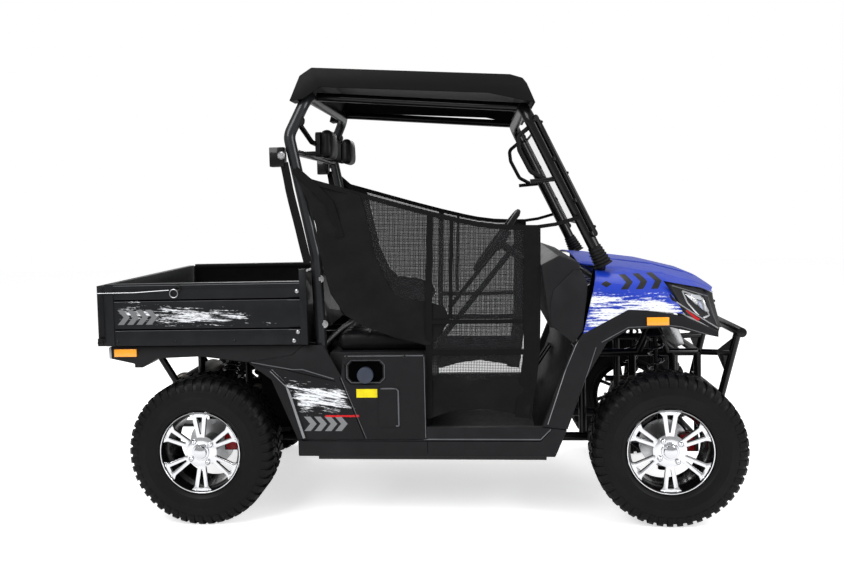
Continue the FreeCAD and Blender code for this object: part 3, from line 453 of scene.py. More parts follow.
@dataclass(frozen=True)
class Brushed(Finish):
    """Panel with torn white brush streaks, chevrons and a thin red stroke on its outer sides.

    Attributes:
        streaks: corners (x, z) of the convex field that the streaks fill, clockwise, in millimetres.
        arrows: tip of the first chevron, tip of the last one and the middle height, in millimetres.
        arrow_size: half height, thickness along x and number of chevrons.
        arrow: colour of the chevrons.
        stroke: first x, last x and height of the red stroke.
        spot: middle (x, z) of a small diamond.
        thick: amount of white, from sparse at 0 to dense at 1.
        slope: rise of the streaks in degrees.
        outside: distance from the middle of the vehicle beyond which the pattern shows.
    """

    streaks: tuple[Point, ...] = ()
    arrows: tuple[float, float, float] = (0, 1, 0)
    arrow_size: tuple[float, float, int] = (30, 30, 3)
    arrow: Colour = (0.2, 0.2, 0.2)
    stroke: tuple[float, float, float] = (0, 0, 0)
    spot: tuple[float, float] = (0, 0)
    thick: float = 0.5
    slope: float = 0.0
    outside: float = 560.0

    def depth_inside(self, x: Field, z: Field) -> Field:
        """Least distance from the sides of the streaks' field, negative outside it.

        Args:
            x: distance from the rear axle.
            z: height.

        Returns:
            The distance.
        """
        least: Field | None = None
        for (x0, z0), (x1, z1) in zip(self.streaks, self.streaks[1:] + self.streaks[:1]):
            length = math.hypot(x1 - x0, z1 - z0)
            distance = (x - x0) * ((z1 - z0) / length) - (z - z0) * ((x1 - x0) / length)
            least = distance if least is None else least.worked("MINIMUM", distance)
        return least

    def torn(self, surface: Surface, x: Field, z: Field) -> Field:
        """Weight of the brush paint, ragged at the edges of its field.

        Args:
            surface: material under construction.
            x: distance from the rear axle.
            z: height.

        Returns:
            The weight.
        """
        slope = math.radians(self.slope)
        along = x * math.cos(slope) + z * math.sin(slope)
        across = z * math.cos(slope) - x * math.sin(slope)
        broad = surface.streaky(along, across, 150.0, 30.0)
        coarse = surface.streaky(along, across, 75.0, 7.0)
        fine = surface.streaky(along, across, 14.0, 2.4)
        edge = self.depth_inside(x, z)
        paint = coarse * 0.42 + fine * 0.26 + broad * 0.32 + edge.ramp(-12.0, 40.0) * 0.12
        return paint * (edge + (fine - 0.5) * 70.0).above(0.0)

    def chevrons(self, x: Field, z: Field) -> Field:
        """Mask of the chevrons, which point forwards.

        Args:
            x: distance from the rear axle.
            z: height.

        Returns:
            The mask.
        """
        first, last, middle = self.arrows
        half, thickness, count = self.arrow_size
        along = x + (z - middle).size() * 0.85
        pitch = (last - first) / max(1, count - 1)
        start = first - pitch
        return (along.between(start, last) * (z - middle).size().below(half)
                * ((along - start) * (1 / pitch)).worked("FRACT").above(1 - thickness / pitch))

    def layers(self, surface: Surface) -> list[tuple[Field, Colour]]:
        """Streaks, chevrons, stroke and diamond over the panel's tone.

        Args:
            surface: material under construction.

        Returns:
            Pairs of mask and colour.
        """
        x, y, z = surface.axes()
        shown = y.size().above(self.outside)
        white = shade(222, 224, 228)
        haze = tuple(base * 0.62 + bright * 0.38 for base, bright in zip(self.tone, white))
        paint = self.torn(surface, x, z)
        limit = 0.665 - 0.07 * self.thick
        made = super().layers(surface) + [(paint.above(limit - 0.035) * shown, haze),
                                          (paint.above(limit) * shown, white),
                                          (self.chevrons(x, z) * shown, self.arrow)]
        if self.stroke[1] > self.stroke[0]:
            x0, x1, height = self.stroke
            ragged = surface.noise(90.0, 3.0) * 9.0
            band = ((z - height).size() + ragged).below(8.5)
            made.append((x.between(x0, x1) * band * shown, shade(196, 30, 34)))
        if self.spot[0]:
            diamond = ((x - self.spot[0]).size() * 0.6 + (z - self.spot[1]).size()).below(13.0)
            made.append((diamond * shown, self.arrow))
        return made


class Palette:
    """All finishes of the vehicle, built once."""

    def __init__(self) -> None:
        """Builds every material."""
        blue = shade(20, 50, 160)
        self.blue = Brushed(
            "blue_gloss_panel", blue, rough=0.36, coat=0.16, gloss=0.3, grain=14, depth=0.02, mottle=0.06,
            streaks=((1545, 772), (1590, 950), (1890, 926), (1990, 850), (1740, 800)), outside=430.0,
            arrows=(1769, 1887, 978), arrow_size=(28, 28, 3), arrow=shade(14, 14, 16), thick=0.8,
            spot=(1663, 972),
        ).make()
        self.plastic = Pebbled("charcoal_moulded_plastic", shade(27, 27, 29), rough=0.46, grain=1.6,
                               depth=0.10).make()
        # Lighter grey for the bevel beads: a painted highlight where light catches the plastic's bevels and
        # edges.
        self.bevel = Pebbled("plastic_bevel_edge", shade(92, 93, 96), rough=0.38, grain=1.6,
                             depth=0.06).make()
        # Brighter grey for thin edge beads: a painted highlight along lit edges and creases.
        self.edge = Pebbled("worn_bright_edge", shade(136, 137, 140), rough=0.36, grain=1.6,
                            depth=0.04).make()
        self.groove = Finish("shadow_gap", shade(5, 5, 6), rough=0.7, grain=1.6, gloss=0.0).make()
        self.side = Brushed(
            "side_panel_plastic", shade(25, 25, 27), rough=0.46, grain=1.6, depth=0.10,
            streaks=((425, 452), (345, 600), (598, 572), (640, 470)), arrows=(483, 612, 414),
            arrow_size=(30, 27, 4), arrow=shade(122, 123, 125), thick=0.62, slope=-9.0,
            stroke=(520, 660, 446),
        ).make()
        self.bed = Brushed(
            "bed_satin_steel", shade(28, 29, 31), rough=0.38, grain=3.0, depth=0.05, metal=0.2,
            streaks=((-335, 900), (-290, 935), (170, 908), (310, 838), (-60, 818), (-335, 846)),
            arrows=(-288, -168, 868), arrow_size=(31, 26, 4), arrow=shade(112, 113, 115), thick=0.3,
            slope=-4.0,
        ).make()
        self.steel = Finish("bed_black_steel", shade(15, 15, 16), rough=0.4, metal=0.2, coat=0.2,
                            grain=3.0).make()
        self.gate = Finish("tailgate_satin_steel", shade(24, 25, 27), rough=0.4, grain=3.0, metal=0.2).make()
        self.roof = Finish("roof_matte_black", shade(9, 9, 10), rough=0.55, grain=1.0, depth=0.04).make()
        self.tube = Finish("tube_satin_black", shade(12, 12, 13), rough=0.32, metal=0.2, coat=0.35,
                           grain=1.5).make()
        self.hoop = Finish("hoop_dark_grey", shade(40, 41, 43), rough=0.34, metal=0.4, coat=0.35,
                           grain=1.5).make()
        self.cast = Finish("cast_grey_metal", shade(96, 97, 99), rough=0.5, metal=0.9, grain=1.2,
                           depth=0.12).make()
        self.dull = Finish("drive_housing_black", shade(24, 24, 26), rough=0.45, metal=0.5, grain=1.4,
                           depth=0.1).make()
        self.exhaust = Finish("exhaust_steel", shade(120, 116, 110), rough=0.4, metal=0.95, grain=2.5).make()
        self.core = Machined("bright_core_alloy", shade(222, 223, 225), rough=0.3, metal=0.8,
                             grain=1.5).make()
        self.bright = Machined("machined_rim_face", shade(232, 233, 236), rough=0.16, metal=1.0, grain=0.9,
                               depth=0.02, mottle=0.05).make()
        self.pocket = Finish("rim_gloss_black", shade(8, 8, 9), rough=0.22, coat=0.6, grain=3.0,
                             depth=0.02).make()
        self.chrome = Finish("chrome_plate", shade(222, 223, 226), rough=0.1, metal=1.0, grain=8, depth=0.01,
                             mottle=0.03).make()
        self.disc = Machined("brake_disc_steel", shade(206, 207, 209), rough=0.3, metal=1.0, grain=0.7).make()
        self.caliper = Finish("red_caliper_paint", shade(176, 22, 26), rough=0.32, coat=0.4, grain=1.5).make()
        self.rubber = Pebbled("tyre_rubber", shade(13, 13, 14), rough=0.46, grain=1.8, depth=0.12,
                              mottle=0.2).make()
        self.grip = Pebbled("soft_grip_rubber", shade(14, 14, 15), rough=0.55, grain=1.3, depth=0.08).make()
        self.vinyl = Pebbled("seat_vinyl", shade(19, 19, 21), rough=0.4, grain=1.7, depth=0.10).make()
        self.fabric = Woven("net_dark_fabric", shade(17, 17, 18), rough=0.85, grain=0.9, depth=0.25).make()
        self.mesh = Woven("net_mesh_strand", shade(24, 24, 25), rough=0.8, grain=0.9, depth=0.2).make()
        self.webbing = Woven("woven_strap", shade(10, 10, 11), rough=0.8, grain=1.2, depth=0.3).make()
        self.coil = Finish("coil_gloss_black", shade(20, 20, 22), rough=0.16, metal=0.5, coat=0.9,
                           grain=3.0).make()
        self.bolt = Finish("zinc_bolt", shade(168, 168, 170), rough=0.34, metal=1.0, grain=0.8).make()
        self.amber = self.lens("amber_marker_lens", shade(246, 158, 30))
        self.red = self.lens("red_tail_lens", shade(190, 18, 20))
        self.label = Finish("bare_yellow_plate", shade(224, 206, 30), rough=0.4, grain=2.0, depth=0.02).make()
        # Blue patch inside the headlight's lens: a painted reflection.
        self.lens_blue = Finish("blue_tinted_lamp", shade(40, 60, 130), rough=0.15, coat=0.8,
                                grain=2.0).make()
        self.streak = Finish("silver_edge_trim", shade(176, 177, 180), rough=0.3, metal=0.7, grain=2.0).make()
        self.weave = self.clear("net_fine_weave", 0.8, shade(34, 34, 36), 0.5)
        self.cap = Finish("fuel_cap_plastic", shade(52, 58, 72), rough=0.4, grain=1.4, gloss=0.3).make()
        self.glass = self.clear("clear_screen", 0.03, (0.86, 0.9, 0.92), 0.10)
        self.lamp = self.clear("clear_lamp_lens", 0.02, (0.9, 0.94, 0.98), 0.22)

    @staticmethod
    def lens(name: str, tone: Colour) -> Material:
        """Ribbed coloured reflector lens.

        Args:
            name: name of the material.
            tone: colour of the lens.

        Returns:
            The material.
        """
        surface = Surface(name)
        # The faint emission in the lens colour is a painted glow.
        surface.set(Roughness=0.12, Coat_Weight=0.7, Emission_Strength=0.12, Emission_Color=tone)
        x, _, z = surface.axes()
        ribs = (x.repeat(5.0) - 0.5).size().most((z.repeat(5.0) - 0.5).size())
        # Darker along the rib lines: painted shade in the grooves between the ribs.
        dark = tuple(value * 0.62 for value in tone)
        surface.colour(tone, [(ribs.ramp(0.38, 0.5), dark)])
        surface.bump(ribs, 0.5)
        return surface.material

    @staticmethod
    def clear(name: str, rough: float, tint: Colour, body: float) -> Material:
        """Thin clear plastic.

        Args:
            name: name of the material.
            rough: roughness of the surface.
            tint: colour of what passes through.
            body: how much of what lies behind it hides.

        Returns:
            The material.
        """
        surface = Surface(name)
        surface.set(Base_Color=tint, IOR=1.3, Alpha=body)
        surface.drive("Roughness", surface.noise(30.0, 2.0) * 0.02 + rough)
        return surface.material


# Modelling
class Bench:
    """Modelling operators, used on one piece at a time as by hand."""

    @staticmethod
    def clear() -> None:
        """Leaves edit mode and deselects everything."""
        if bpy.context.object is not None and bpy.context.object.mode != "OBJECT":
            bpy.ops.object.mode_set(mode="OBJECT")
        bpy.ops.object.select_all(action="DESELECT")

    @classmethod
    def hold(cls, piece: Piece) -> None:
        """Makes one piece the active and only selected one.

        Args:
            piece: the piece.
        """
        cls.clear()
        piece.select_set(True)
        bpy.context.view_layer.objects.active = piece

    @classmethod
    def started(cls, name: str) -> Piece:
        """Names the primitive that was just added, and settles its place into its mesh.

        Args:
            name: name of the piece.

        Returns:
            The piece.
        """
        piece = bpy.context.object
        piece.name = name
        piece.data.name = name
        cls.settle(piece)
        return piece

    @classmethod
    def settle(cls, piece: Piece) -> None:
        """Moves place, turn and scale into the mesh."""
        cls.hold(piece)
        bpy.ops.object.transform_apply(location=True, rotation=True, scale=True)

    @classmethod
    def edit(cls, piece: Piece, kind: str = "FACE") -> None:
        """Enters edit mode with nothing selected.

        Args:
            piece: the piece.
            kind: what is selected in it.
        """
        cls.hold(piece)
        bpy.ops.object.mode_set(mode="EDIT")
        bpy.ops.mesh.select_mode(type=kind)
        bpy.ops.mesh.select_all(action="DESELECT")

    @classmethod
    def whole(cls, piece: Piece) -> None:
        """Enters edit mode with everything selected."""
        cls.edit(piece)
        bpy.ops.mesh.select_all(action="SELECT")

    @staticmethod
    def done() -> None:
        """Returns to object mode."""
        bpy.ops.object.mode_set(mode="OBJECT")

    @staticmethod
    def faces(piece: Piece, test: Callable[[Vector, Vector], bool]) -> None:
        """Selects the faces whose centre and normal pass the test.

        Args:
            piece: the piece, in edit mode.
            test: takes a centre and a normal.
        """
        mesh = bmesh.from_edit_mesh(piece.data)
        for face in mesh.faces:
            if test(face.calc_center_median(), face.normal):
                face.select_set(True)
        bmesh.update_edit_mesh(piece.data)

    @staticmethod
    def corners(piece: Piece, test: Callable[[Vector], bool]) -> None:
        """Selects the vertices whose place passes the test.

        Args:
            piece: the piece, in edit mode.
            test: takes a place.
        """
        mesh = bmesh.from_edit_mesh(piece.data)
        for vertex in mesh.verts:
            if test(vertex.co):
                vertex.select_set(True)
        mesh.select_flush(True)
        bmesh.update_edit_mesh(piece.data)

    @classmethod
    def modified(cls, piece: Piece, kind: str, **settings: object) -> None:
        """Adds a modifier with the given settings and applies it.

        Args:
            piece: the piece.
            kind: type of modifier.
            settings: its settings by name.
        """
        cls.hold(piece)
        modifier = piece.modifiers.new(kind.lower(), kind)
        for key, value in settings.items():
            setattr(modifier, key, value)
        bpy.ops.object.modifier_apply(modifier=modifier.name)

    @classmethod
    def smoothed(cls, piece: Piece, angle: float = 35.0) -> None:
        """Smooth shading where faces meet at less than the angle."""
        cls.hold(piece)
        bpy.ops.object.shade_smooth_by_angle(angle=math.radians(angle))

    @classmethod
    def softened(cls, piece: Piece, width: float, angle: float = 30.0, segments: int = 2) -> None:
        """Rounds the sharp edges by a width in millimetres and shades the piece smooth.

        Args:
            piece: the piece.
            width: width of the rounding.
            angle: edges sharper than this are rounded.
            segments: steps across it.
        """
        cls.modified(piece, "BEVEL", width=width * MM, segments=segments, limit_method="ANGLE",
                     angle_limit=math.radians(angle), harden_normals=False)
        cls.smoothed(piece, 40.0)

    @classmethod
    def outwards(cls, piece: Piece, merged: bool = True) -> None:
        """Merges doubled corners, unless told not to, and turns all faces outwards.

        Args:
            piece: the piece.
            merged: whether its doubled corners are merged.
        """
        cls.whole(piece)
        if merged:
            bpy.ops.mesh.remove_doubles(threshold=0.00002)
        bpy.ops.mesh.normals_make_consistent(inside=False)
        cls.done()

    @classmethod
    def joined(cls, name: str, pieces: Sequence[Piece]) -> Piece:
        """Joins several pieces into one of the given name.

        Args:
            name: name of the whole.
            pieces: the pieces.

        Returns:
            The whole.
        """
        cls.clear()
        for piece in pieces:
            piece.select_set(True)
        bpy.context.view_layer.objects.active = pieces[0]
        bpy.ops.object.join()
        pieces[0].name = name
        pieces[0].data.name = name
        return pieces[0]

    @classmethod
    def outlined(cls, name: str, corners: Sequence[Vector], fill: str = "NGON") -> Piece:
        """Flat face through the given corners, or only its rim with the fill NOTHING.

        Args:
            name: name of the piece.
            corners: its corners in order.
            fill: how the rim is filled.

        Returns:
            The face.
        """
        cls.clear()
        bpy.ops.mesh.primitive_circle_add(vertices=len(corners), radius=0.1, fill_type=fill)
        piece = cls.started(name)
        for vertex, corner in zip(piece.data.vertices, corners):
            vertex.co = corner
        return piece

    @classmethod
    def strip(cls, name: str, rows: Sequence[list[Vector]]) -> Piece:
        """Open sheet whose points lie in rows of equal length, side by side.

        Args:
            name: name of the piece.
            rows: points of each row.

        Returns:
            The sheet.
        """
        cls.clear()
        bpy.ops.mesh.primitive_grid_add(x_subdivisions=len(rows[0]) - 1, y_subdivisions=len(rows) - 1, size=1)
        piece = cls.started(name)
        for vertex, corner in zip(piece.data.vertices, sum(rows, [])):
            vertex.co = corner
        return piece

    @classmethod
    def plate(cls, name: str, outline: Sequence[Vector], push: Vector) -> Piece:
        """Flat plate of any outline.

        Args:
            name: name of the piece.
            outline: its corners in order.
            push: direction and thickness.

        Returns:
            The plate, its faces outwards.
        """
        piece = cls.outlined(name, outline)
        cls.whole(piece)
        bpy.ops.mesh.extrude_region_move(TRANSFORM_OT_translate={"value": push})
        bpy.ops.mesh.select_all(action="SELECT")
        bpy.ops.mesh.normals_make_consistent(inside=False)
        cls.done()
        return piece

    @classmethod
    def cylinder(cls, name: str, start: Vector, end: Vector, radius: float, sides: int = 24) -> Piece:
        """Round bar between two points, its radius in millimetres.

        Args:
            name: name of the piece.
            start: middle of one end.
            end: middle of the other.
            radius: radius of the bar.
            sides: number of flat sides.

        Returns:
            The bar.
        """
        cls.clear()
        axis = end - start
        turn = axis.to_track_quat("Z", "Y").to_euler()
        bpy.ops.mesh.primitive_cylinder_add(vertices=sides, radius=radius * MM, depth=axis.length,
                                            location=(start + end) / 2, rotation=turn)
        return cls.started(name)

    @classmethod
    def turned(cls, name: str, profile: Sequence[Point], base: Vector, axis: Vector,
               steps: int = 48) -> Piece:
        """Piece spun from a profile.

        Args:
            name: name of the piece.
            profile: closed ring of (radius, height) corners in millimetres.
            base: where the heights start.
            axis: direction of the axis.
            steps: number of flat sides round the piece.

        Returns:
            The piece, its faces outwards.
        """
        ring = [Vector((radius * MM, 0, height * MM)) for radius, height in profile]
        piece = cls.outlined(name, ring, "NOTHING")
        cls.whole(piece)
        bpy.ops.mesh.spin(steps=steps, angle=2 * math.pi, center=(0, 0, 0), axis=(0, 0, 1),
                          use_auto_merge=True)
        cls.done()
        piece.rotation_euler = axis.to_track_quat("Z", "Y").to_euler()
        piece.location = base
        cls.settle(piece)
        cls.outwards(piece)
        return piece

    @classmethod
    def swung(cls, piece: Piece, angle: float, centre: Vector) -> None:
        """Turns a piece about an axle's line by an angle in degrees, from ahead upwards.

        Args:
            piece: the piece.
            angle: the angle.
            centre: a point of the line.
        """
        cls.whole(piece)
        bpy.ops.transform.rotate(value=math.radians(angle), orient_axis="Y", center_override=centre)
        cls.done()

    @classmethod
    def ring(cls, name: str, centre: Vector, axis: Vector, radius: float, wire: float) -> Piece:
        """Round wire ring, its radii in millimetres.

        Args:
            name: name of the piece.
            centre: middle of the ring.
            axis: direction of its axis.
            radius: radius to the middle of the wire.
            wire: radius of the wire.

        Returns:
            The ring.
        """
        cls.clear()
        bpy.ops.mesh.primitive_torus_add(major_radius=radius * MM, minor_radius=wire * MM, major_segments=28,
                                         minor_segments=8, location=centre,
                                         rotation=axis.to_track_quat("Z", "Y").to_euler())
        return cls.started(name)

    @classmethod
    def around(cls, piece: Piece, count: int, centre: Vector, axis: Vector) -> None:
        """Repeats all of a piece round an axis.

        Args:
            piece: the piece.
            count: number of copies in all.
            centre: a point of the axis.
            axis: direction of the axis.
        """
        cls.whole(piece)
        bpy.ops.mesh.spin(steps=count - 1, dupli=True, angle=2 * math.pi * (count - 1) / count, center=centre,
                          axis=axis)
        cls.done()


class Wardrobe:
    """Dresses CAD nodes and sends each piece to its body."""

    def __init__(self) -> None:
        """Starts with nothing dressed."""
        self.count = 0

    @staticmethod
    def body(node: str) -> str:
        """Body that a CAD node rides on."""
        return body_of(frame["nodes"][node])[0]

    @staticmethod
    def paint(piece: Piece, *finishes: Material) -> None:
        """Gives a piece its finishes, the first on all faces that name no other.

        Args:
            piece: the piece.
            finishes: its finishes.
        """
        piece.data.materials.clear()
        for finish in finishes:
            piece.data.materials.append(finish)

    @staticmethod
    def second(piece: Piece, finish: Material, test: Callable[[bpy.types.MeshPolygon], bool]) -> None:
        """Gives a second finish to the faces that pass the test.

        Args:
            piece: the piece.
            finish: the second finish.
            test: takes a face.
        """
        piece.data.materials.append(finish)
        for face in piece.data.polygons:
            face.material_index = int(test(face))

    def place(self, piece: Piece, body: str, slot: str, replaces: Sequence[str] = ()) -> Piece:
        """Sends a finished piece to its body.

        Args:
            piece: the piece.
            body: body it rides on.
            slot: material slot that it stands for; not used.
            replaces: CAD nodes that it stands for.

        Returns:
            The same piece.
        """
        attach(piece, body)
        if replaces:
            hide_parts(*replaces)
        self.count += 1
        LOG.info("%s: %d faces on %s", piece.name, len(piece.data.polygons), body)
        return piece

    def dress(self, node: str, finish: Material, slot: str, width: float = 2.0,
              angle: float = 30.0, segments: int = 2) -> Piece:
        """Merged copy of a CAD node with softened edges, shown in its place.

        Args:
            node: name of the CAD node.
            finish: its material.
            slot: material slot that it stands for.
            width: softening of its edges in millimetres, 0 for none.
            angle: edges sharper than this are softened.
            segments: steps across each softened edge.

        Returns:
            The dressed piece.
        """
        piece = bpy.data.objects.new(node + "_skin", frame["nodes"][node].data.copy())
        bpy.context.scene.collection.objects.link(piece)
        Bench.whole(piece)
        bpy.ops.mesh.customdata_custom_splitnormals_clear()
        bpy.ops.mesh.remove_doubles(threshold=0.00001)
        bpy.ops.mesh.dissolve_limited(angle_limit=math.radians(0.4))
        Bench.done()
        if width:
            Bench.softened(piece, width, angle, segments)
        else:
            Bench.smoothed(piece)
        self.paint(piece, finish)
        return self.place(piece, self.body(node), slot, [node])


class Trim:
    """Thin trims laid on the outer face of a dressed panel."""

    def __init__(self, panel: Piece, look: Vector) -> None:
        """Reads the panel's faces.

        Args:
            panel: the dressed panel.
            look: direction from outside onto its face.
        """
        self.look = look
        self.skin = BVHTree.FromPolygons([vertex.co for vertex in panel.data.vertices],
                                         [tuple(face.vertices) for face in panel.data.polygons])

    def drop(self, place: Vector) -> Vector:
        """Point of the face that lies under a place, or else the nearest one.

        Args:
            place: the place.

        Returns:
            The point.
        """
        start = place - self.look * (place.dot(self.look) + 3.0)
        hit = self.skin.ray_cast(start, self.look)[0]
        return hit if hit is not None else self.skin.find_nearest(place)[0]

    def bead(self, line: Sequence[Vector], width: float, height: float) -> Piece:
        """Raised strip with sloping sides that follows the face.

        Args:
            line: middle of the strip.
            width: width of the strip in millimetres.
            height: height of the strip in millimetres.

        Returns:
            The strip.
        """
        rows: list[list[Vector]] = [[], [], [], []]
        sink, rise = self.look * MM, self.look * (-height * MM)
        for index, place in enumerate(line):
            before, after = line[max(0, index - 1)], line[min(len(line) - 1, index + 1)]
            across = (after - before).cross(self.look).normalized() * (width / 2 * MM)
            low, high = self.drop(place - across), self.drop(place + across)
            inset = (high - low) * 0.2
            for row, corner in zip(rows, (low + sink, low + inset + rise, high - inset + rise, high + sink)):
                row.append(corner)
        piece = Bench.strip("bead", rows)
        piece.data.update()
        if sum(face.normal.dot(self.look) * face.area for face in piece.data.polygons) > 0:
            Bench.whole(piece)
            bpy.ops.mesh.flip_normals()
            Bench.done()
        Bench.smoothed(piece, 30)
        return piece

    def patch(self, outline: Sequence[Vector], height: float) -> Piece:
        """Flat plate of any outline on the face, sunk into it and of a given height over it.

        Args:
            outline: corners of the plate.
            height: height over the face.

        Returns:
            The plate.
        """
        corners = [self.drop(corner) + self.look * (PATCH_SINK * MM) for corner in outline]
        piece = Bench.plate("patch", corners, self.look * (-(height + PATCH_SINK) * MM))
        Bench.smoothed(piece, 30)
        return piece

    def screws(self, places: Sequence[Vector], radius: float) -> Piece:
        """Domed screw heads on the face.

        Args:
            places: place of each screw.
            radius: radius of a head.

        Returns:
            The heads.
        """
        head = [(AXIS_GAP, -2), (radius, -2), (radius, radius * 0.3), (radius * 0.6, radius * 0.55),
                (AXIS_GAP, radius * 0.6)]
        made = [Bench.turned("screw", head, self.drop(place), -self.look, 12) for place in places]
        for piece in made:
            Bench.smoothed(piece, 40)
        return Bench.joined("screws", made)


# Wheels
@dataclass
class Wheel:
    """One wheel: tyre with full tread, and rim with six double spokes.

    Attributes:
        axle: end of the vehicle.
        side: side of the vehicle.
        width: width of the tyre in millimetres.
        face: distance of the tyre's outer face from the middle.
        radius: radius over the tread.
        seat: radius of the rim under the bead.
        pitches: number of lugs round each row.
        block_depth: height of a lug over the carcass.
        spoke_count: number of double spokes.
        spoke_turn: angle of the first one, in degrees.
    """

    axle: Axle
    side: Side
    width: float
    face: float
    radius: float = 305.0
    seat: float = 170.0
    pitches: int = 48
    block_depth: float = 8.0
    spoke_count: int = 6
    spoke_turn: float = 30.0

    @property
    def tag(self) -> str:
        """End and side as the nodes name them."""
        return "%s_%s" % (self.axle.name.lower(), self.side.name.lower())

    def spot(self, angle: float, radius: float, across: float) -> Vector:
        """Place on the wheel at an angle, a radius and a distance from the middle of the vehicle.

        Args:
            angle: the angle in degrees.
            radius: the radius.
            across: the distance.

        Returns:
            The place.
        """
        turn = math.radians(angle)
        return at(self.axle.value + radius * math.cos(turn), self.side.value * across,
                  self.radius + radius * math.sin(turn))

    @property
    def hub(self) -> Vector:
        """Middle of the vehicle on the axle's line."""
        return at(self.axle.value, 0, self.radius)

    @property
    def outward(self) -> Vector:
        """Direction away from the vehicle."""
        return Vector((0, self.side.value, 0))

    def carcass(self) -> Piece:
        """Body of the tyre with ribs on its side wall.

        Returns:
            The carcass.
        """
        inner = self.face - self.width
        base = self.radius - self.block_depth
        wall = [(170, 21), (176, 12), (184, 9), (190, 5), (194, 6), (204, 2.5), (226, 0), (230, -1), (233, 0),
                (252, 1), (264, 4), (280, 9), (291, 19), (base, 36)]
        outer_wall = [(radius, self.face - step) for radius, step in wall]
        inner_wall = [(radius, inner + step) for radius, step in reversed(wall)]
        crown = [(base + 2, self.face - self.width / 2)]
        profile = outer_wall + crown + inner_wall
        return Bench.turned("tyre_carcass", profile, self.hub, self.outward, 96)

    def lug(self, name: str, angle: float, span: float, steps: Sequence[tuple[float, float, float]],
            lean: float) -> Piece:
        """Row of lugs round the tyre, each a strip of cross-sections.

        Args:
            name: name of the piece.
            angle: where the row starts, in degrees.
            span: length round the tyre at the lug's root, in millimetres.
            steps: distance from the middle, outer radius and root radius of each section.
            lean: degrees that the lug leans per 100 mm across.

        Returns:
            The row of lugs.
        """
        Bench.clear()
        bpy.ops.mesh.primitive_cube_add(size=0.1)
        piece = Bench.started(name)
        first = steps[0]
        cuts = len(steps) - 2
        if cuts:
            Bench.edit(piece, "EDGE")
            mesh = bmesh.from_edit_mesh(piece.data)
            for edge in mesh.edges:
                if abs(edge.verts[0].co.x - edge.verts[1].co.x) > 0.05:
                    edge.select_set(True)
            bmesh.update_edit_mesh(piece.data)
            bpy.ops.mesh.subdivide(number_cuts=cuts)
            Bench.done()
        half_root, half_tip = (math.degrees(span * share / 2 / self.radius) for share in (1.0, 0.86))
        for vertex in piece.data.vertices:
            share = (vertex.co.x + 0.05) / 0.1
            index = min(len(steps) - 1, max(0, round(share * (len(steps) - 1))))
            across, tip, root = steps[index]
            half = half_tip if vertex.co.z > 0 else half_root
            turn = angle + (half if vertex.co.y > 0 else -half) + lean * (across - first[0]) / 100
            vertex.co = self.spot(turn, tip if vertex.co.z > 0 else root, across)
        Bench.around(piece, self.pitches, self.hub, AXLE_LINE)
        return piece

    def tyre(self, palette: Palette, wardrobe: Wardrobe) -> None:
        """Builds the tyre.

        Args:
            palette: finishes of the vehicle.
            wardrobe: takes the pieces.
        """
        base = self.radius - self.block_depth
        face, inner = self.face, self.face - self.width
        pitch = 360 / self.pitches
        root, tip, shoulder_width = base - 4, self.radius, 34
        middle = face - self.width / 2
        lane = self.width / 2 - shoulder_width
        parts = [self.carcass()]
        for offset, edge, way in ((0.0, face, -1), (0.5, inner, 1)):
            shoulder = [(edge + way * (30 + lane * 0.42), tip, root),
                        (edge + way * shoulder_width, tip, root),
                        (edge + way * 24, 303, 282), (edge + way * 9, 291, 272), (edge + way * 2, 270, 262)]
            parts.append(self.lug("shoulder_lugs", offset * pitch, 27, shoulder, 2.0 * way))
            centre = [(middle - way * 3, tip, root), (edge + way * (36 + lane * 0.44), tip, root)]
            parts.append(self.lug("centre_lugs", (offset + 0.45) * pitch, 25, centre, -9.0 * way))
        tyre = Bench.joined("tread_tyre_" + self.tag, parts)
        Bench.outwards(tyre, merged=False)
        Bench.smoothed(tyre, 32)
        wardrobe.paint(tyre, palette.rubber)
        wardrobe.place(tyre, "wheel_" + self.tag, "tyre_rubber", ["tyre_" + self.tag])

    def spokes(self) -> Piece:
        """Machined face: six double spokes that end in pads on the lip.

        Returns:
            The spokes.
        """
        half = [(34, 0), (34, 15), (48, 16), (64, 17), (140, 29), (150, 36), (158, 45), (164, 47), (168, 30),
                (169.4, 0), (147, 0), (147, 11), (144, 12), (76, 3), (74, 0)]
        depth, thickness, dish, dish_radius = self.face - 20, 0.015, 0.010, 0.080
        outline = [self.hub + Vector((r * MM, self.side.value * depth * MM, t * MM)) for r, t in half]
        piece = Bench.outlined("rim_face", outline)
        Bench.whole(piece)
        bpy.ops.mesh.duplicate_move()
        bpy.ops.transform.resize(value=(1, 1, -1), center_override=self.hub)
        bpy.ops.mesh.select_all(action="SELECT")
        bpy.ops.mesh.remove_doubles(threshold=0.00005)
        bpy.ops.mesh.normals_make_consistent(inside=False)
        bpy.ops.mesh.extrude_region_move(TRANSFORM_OT_translate={"value": -self.outward * thickness})
        bpy.ops.mesh.select_all(action="SELECT")
        bpy.ops.mesh.normals_make_consistent(inside=False)
        Bench.done()
        Bench.around(piece, self.spoke_count, self.hub, AXLE_LINE)
        Bench.edit(piece, "VERT")
        Bench.corners(piece, lambda co: self.reach(co) < dish_radius)
        bpy.ops.transform.translate(value=-self.outward * dish)
        Bench.done()
        Bench.softened(piece, 1.2)
        Bench.swung(piece, self.spoke_turn, self.hub)
        return piece

    def reach(self, place: Vector) -> float:
        """Distance from the axle's line in metres."""
        return math.hypot(place.x - self.hub.x, place.z - self.hub.z)

    def bolts(self, profile: Sequence[Point], angle: float, radius: float, count: int, sides: int) -> Piece:
        """Ring of like bolts or nuts.

        Args:
            profile: ring of (radius, height) corners of one bolt.
            angle: where the first one lies, in degrees.
            radius: radius of the circle that they lie on.
            count: number of them.
            sides: number of flat sides round each.

        Returns:
            The bolts.
        """
        piece = Bench.turned("bolts", profile, self.spot(angle, radius, 0), self.outward, sides)
        Bench.around(piece, count, self.hub, AXLE_LINE)
        return piece

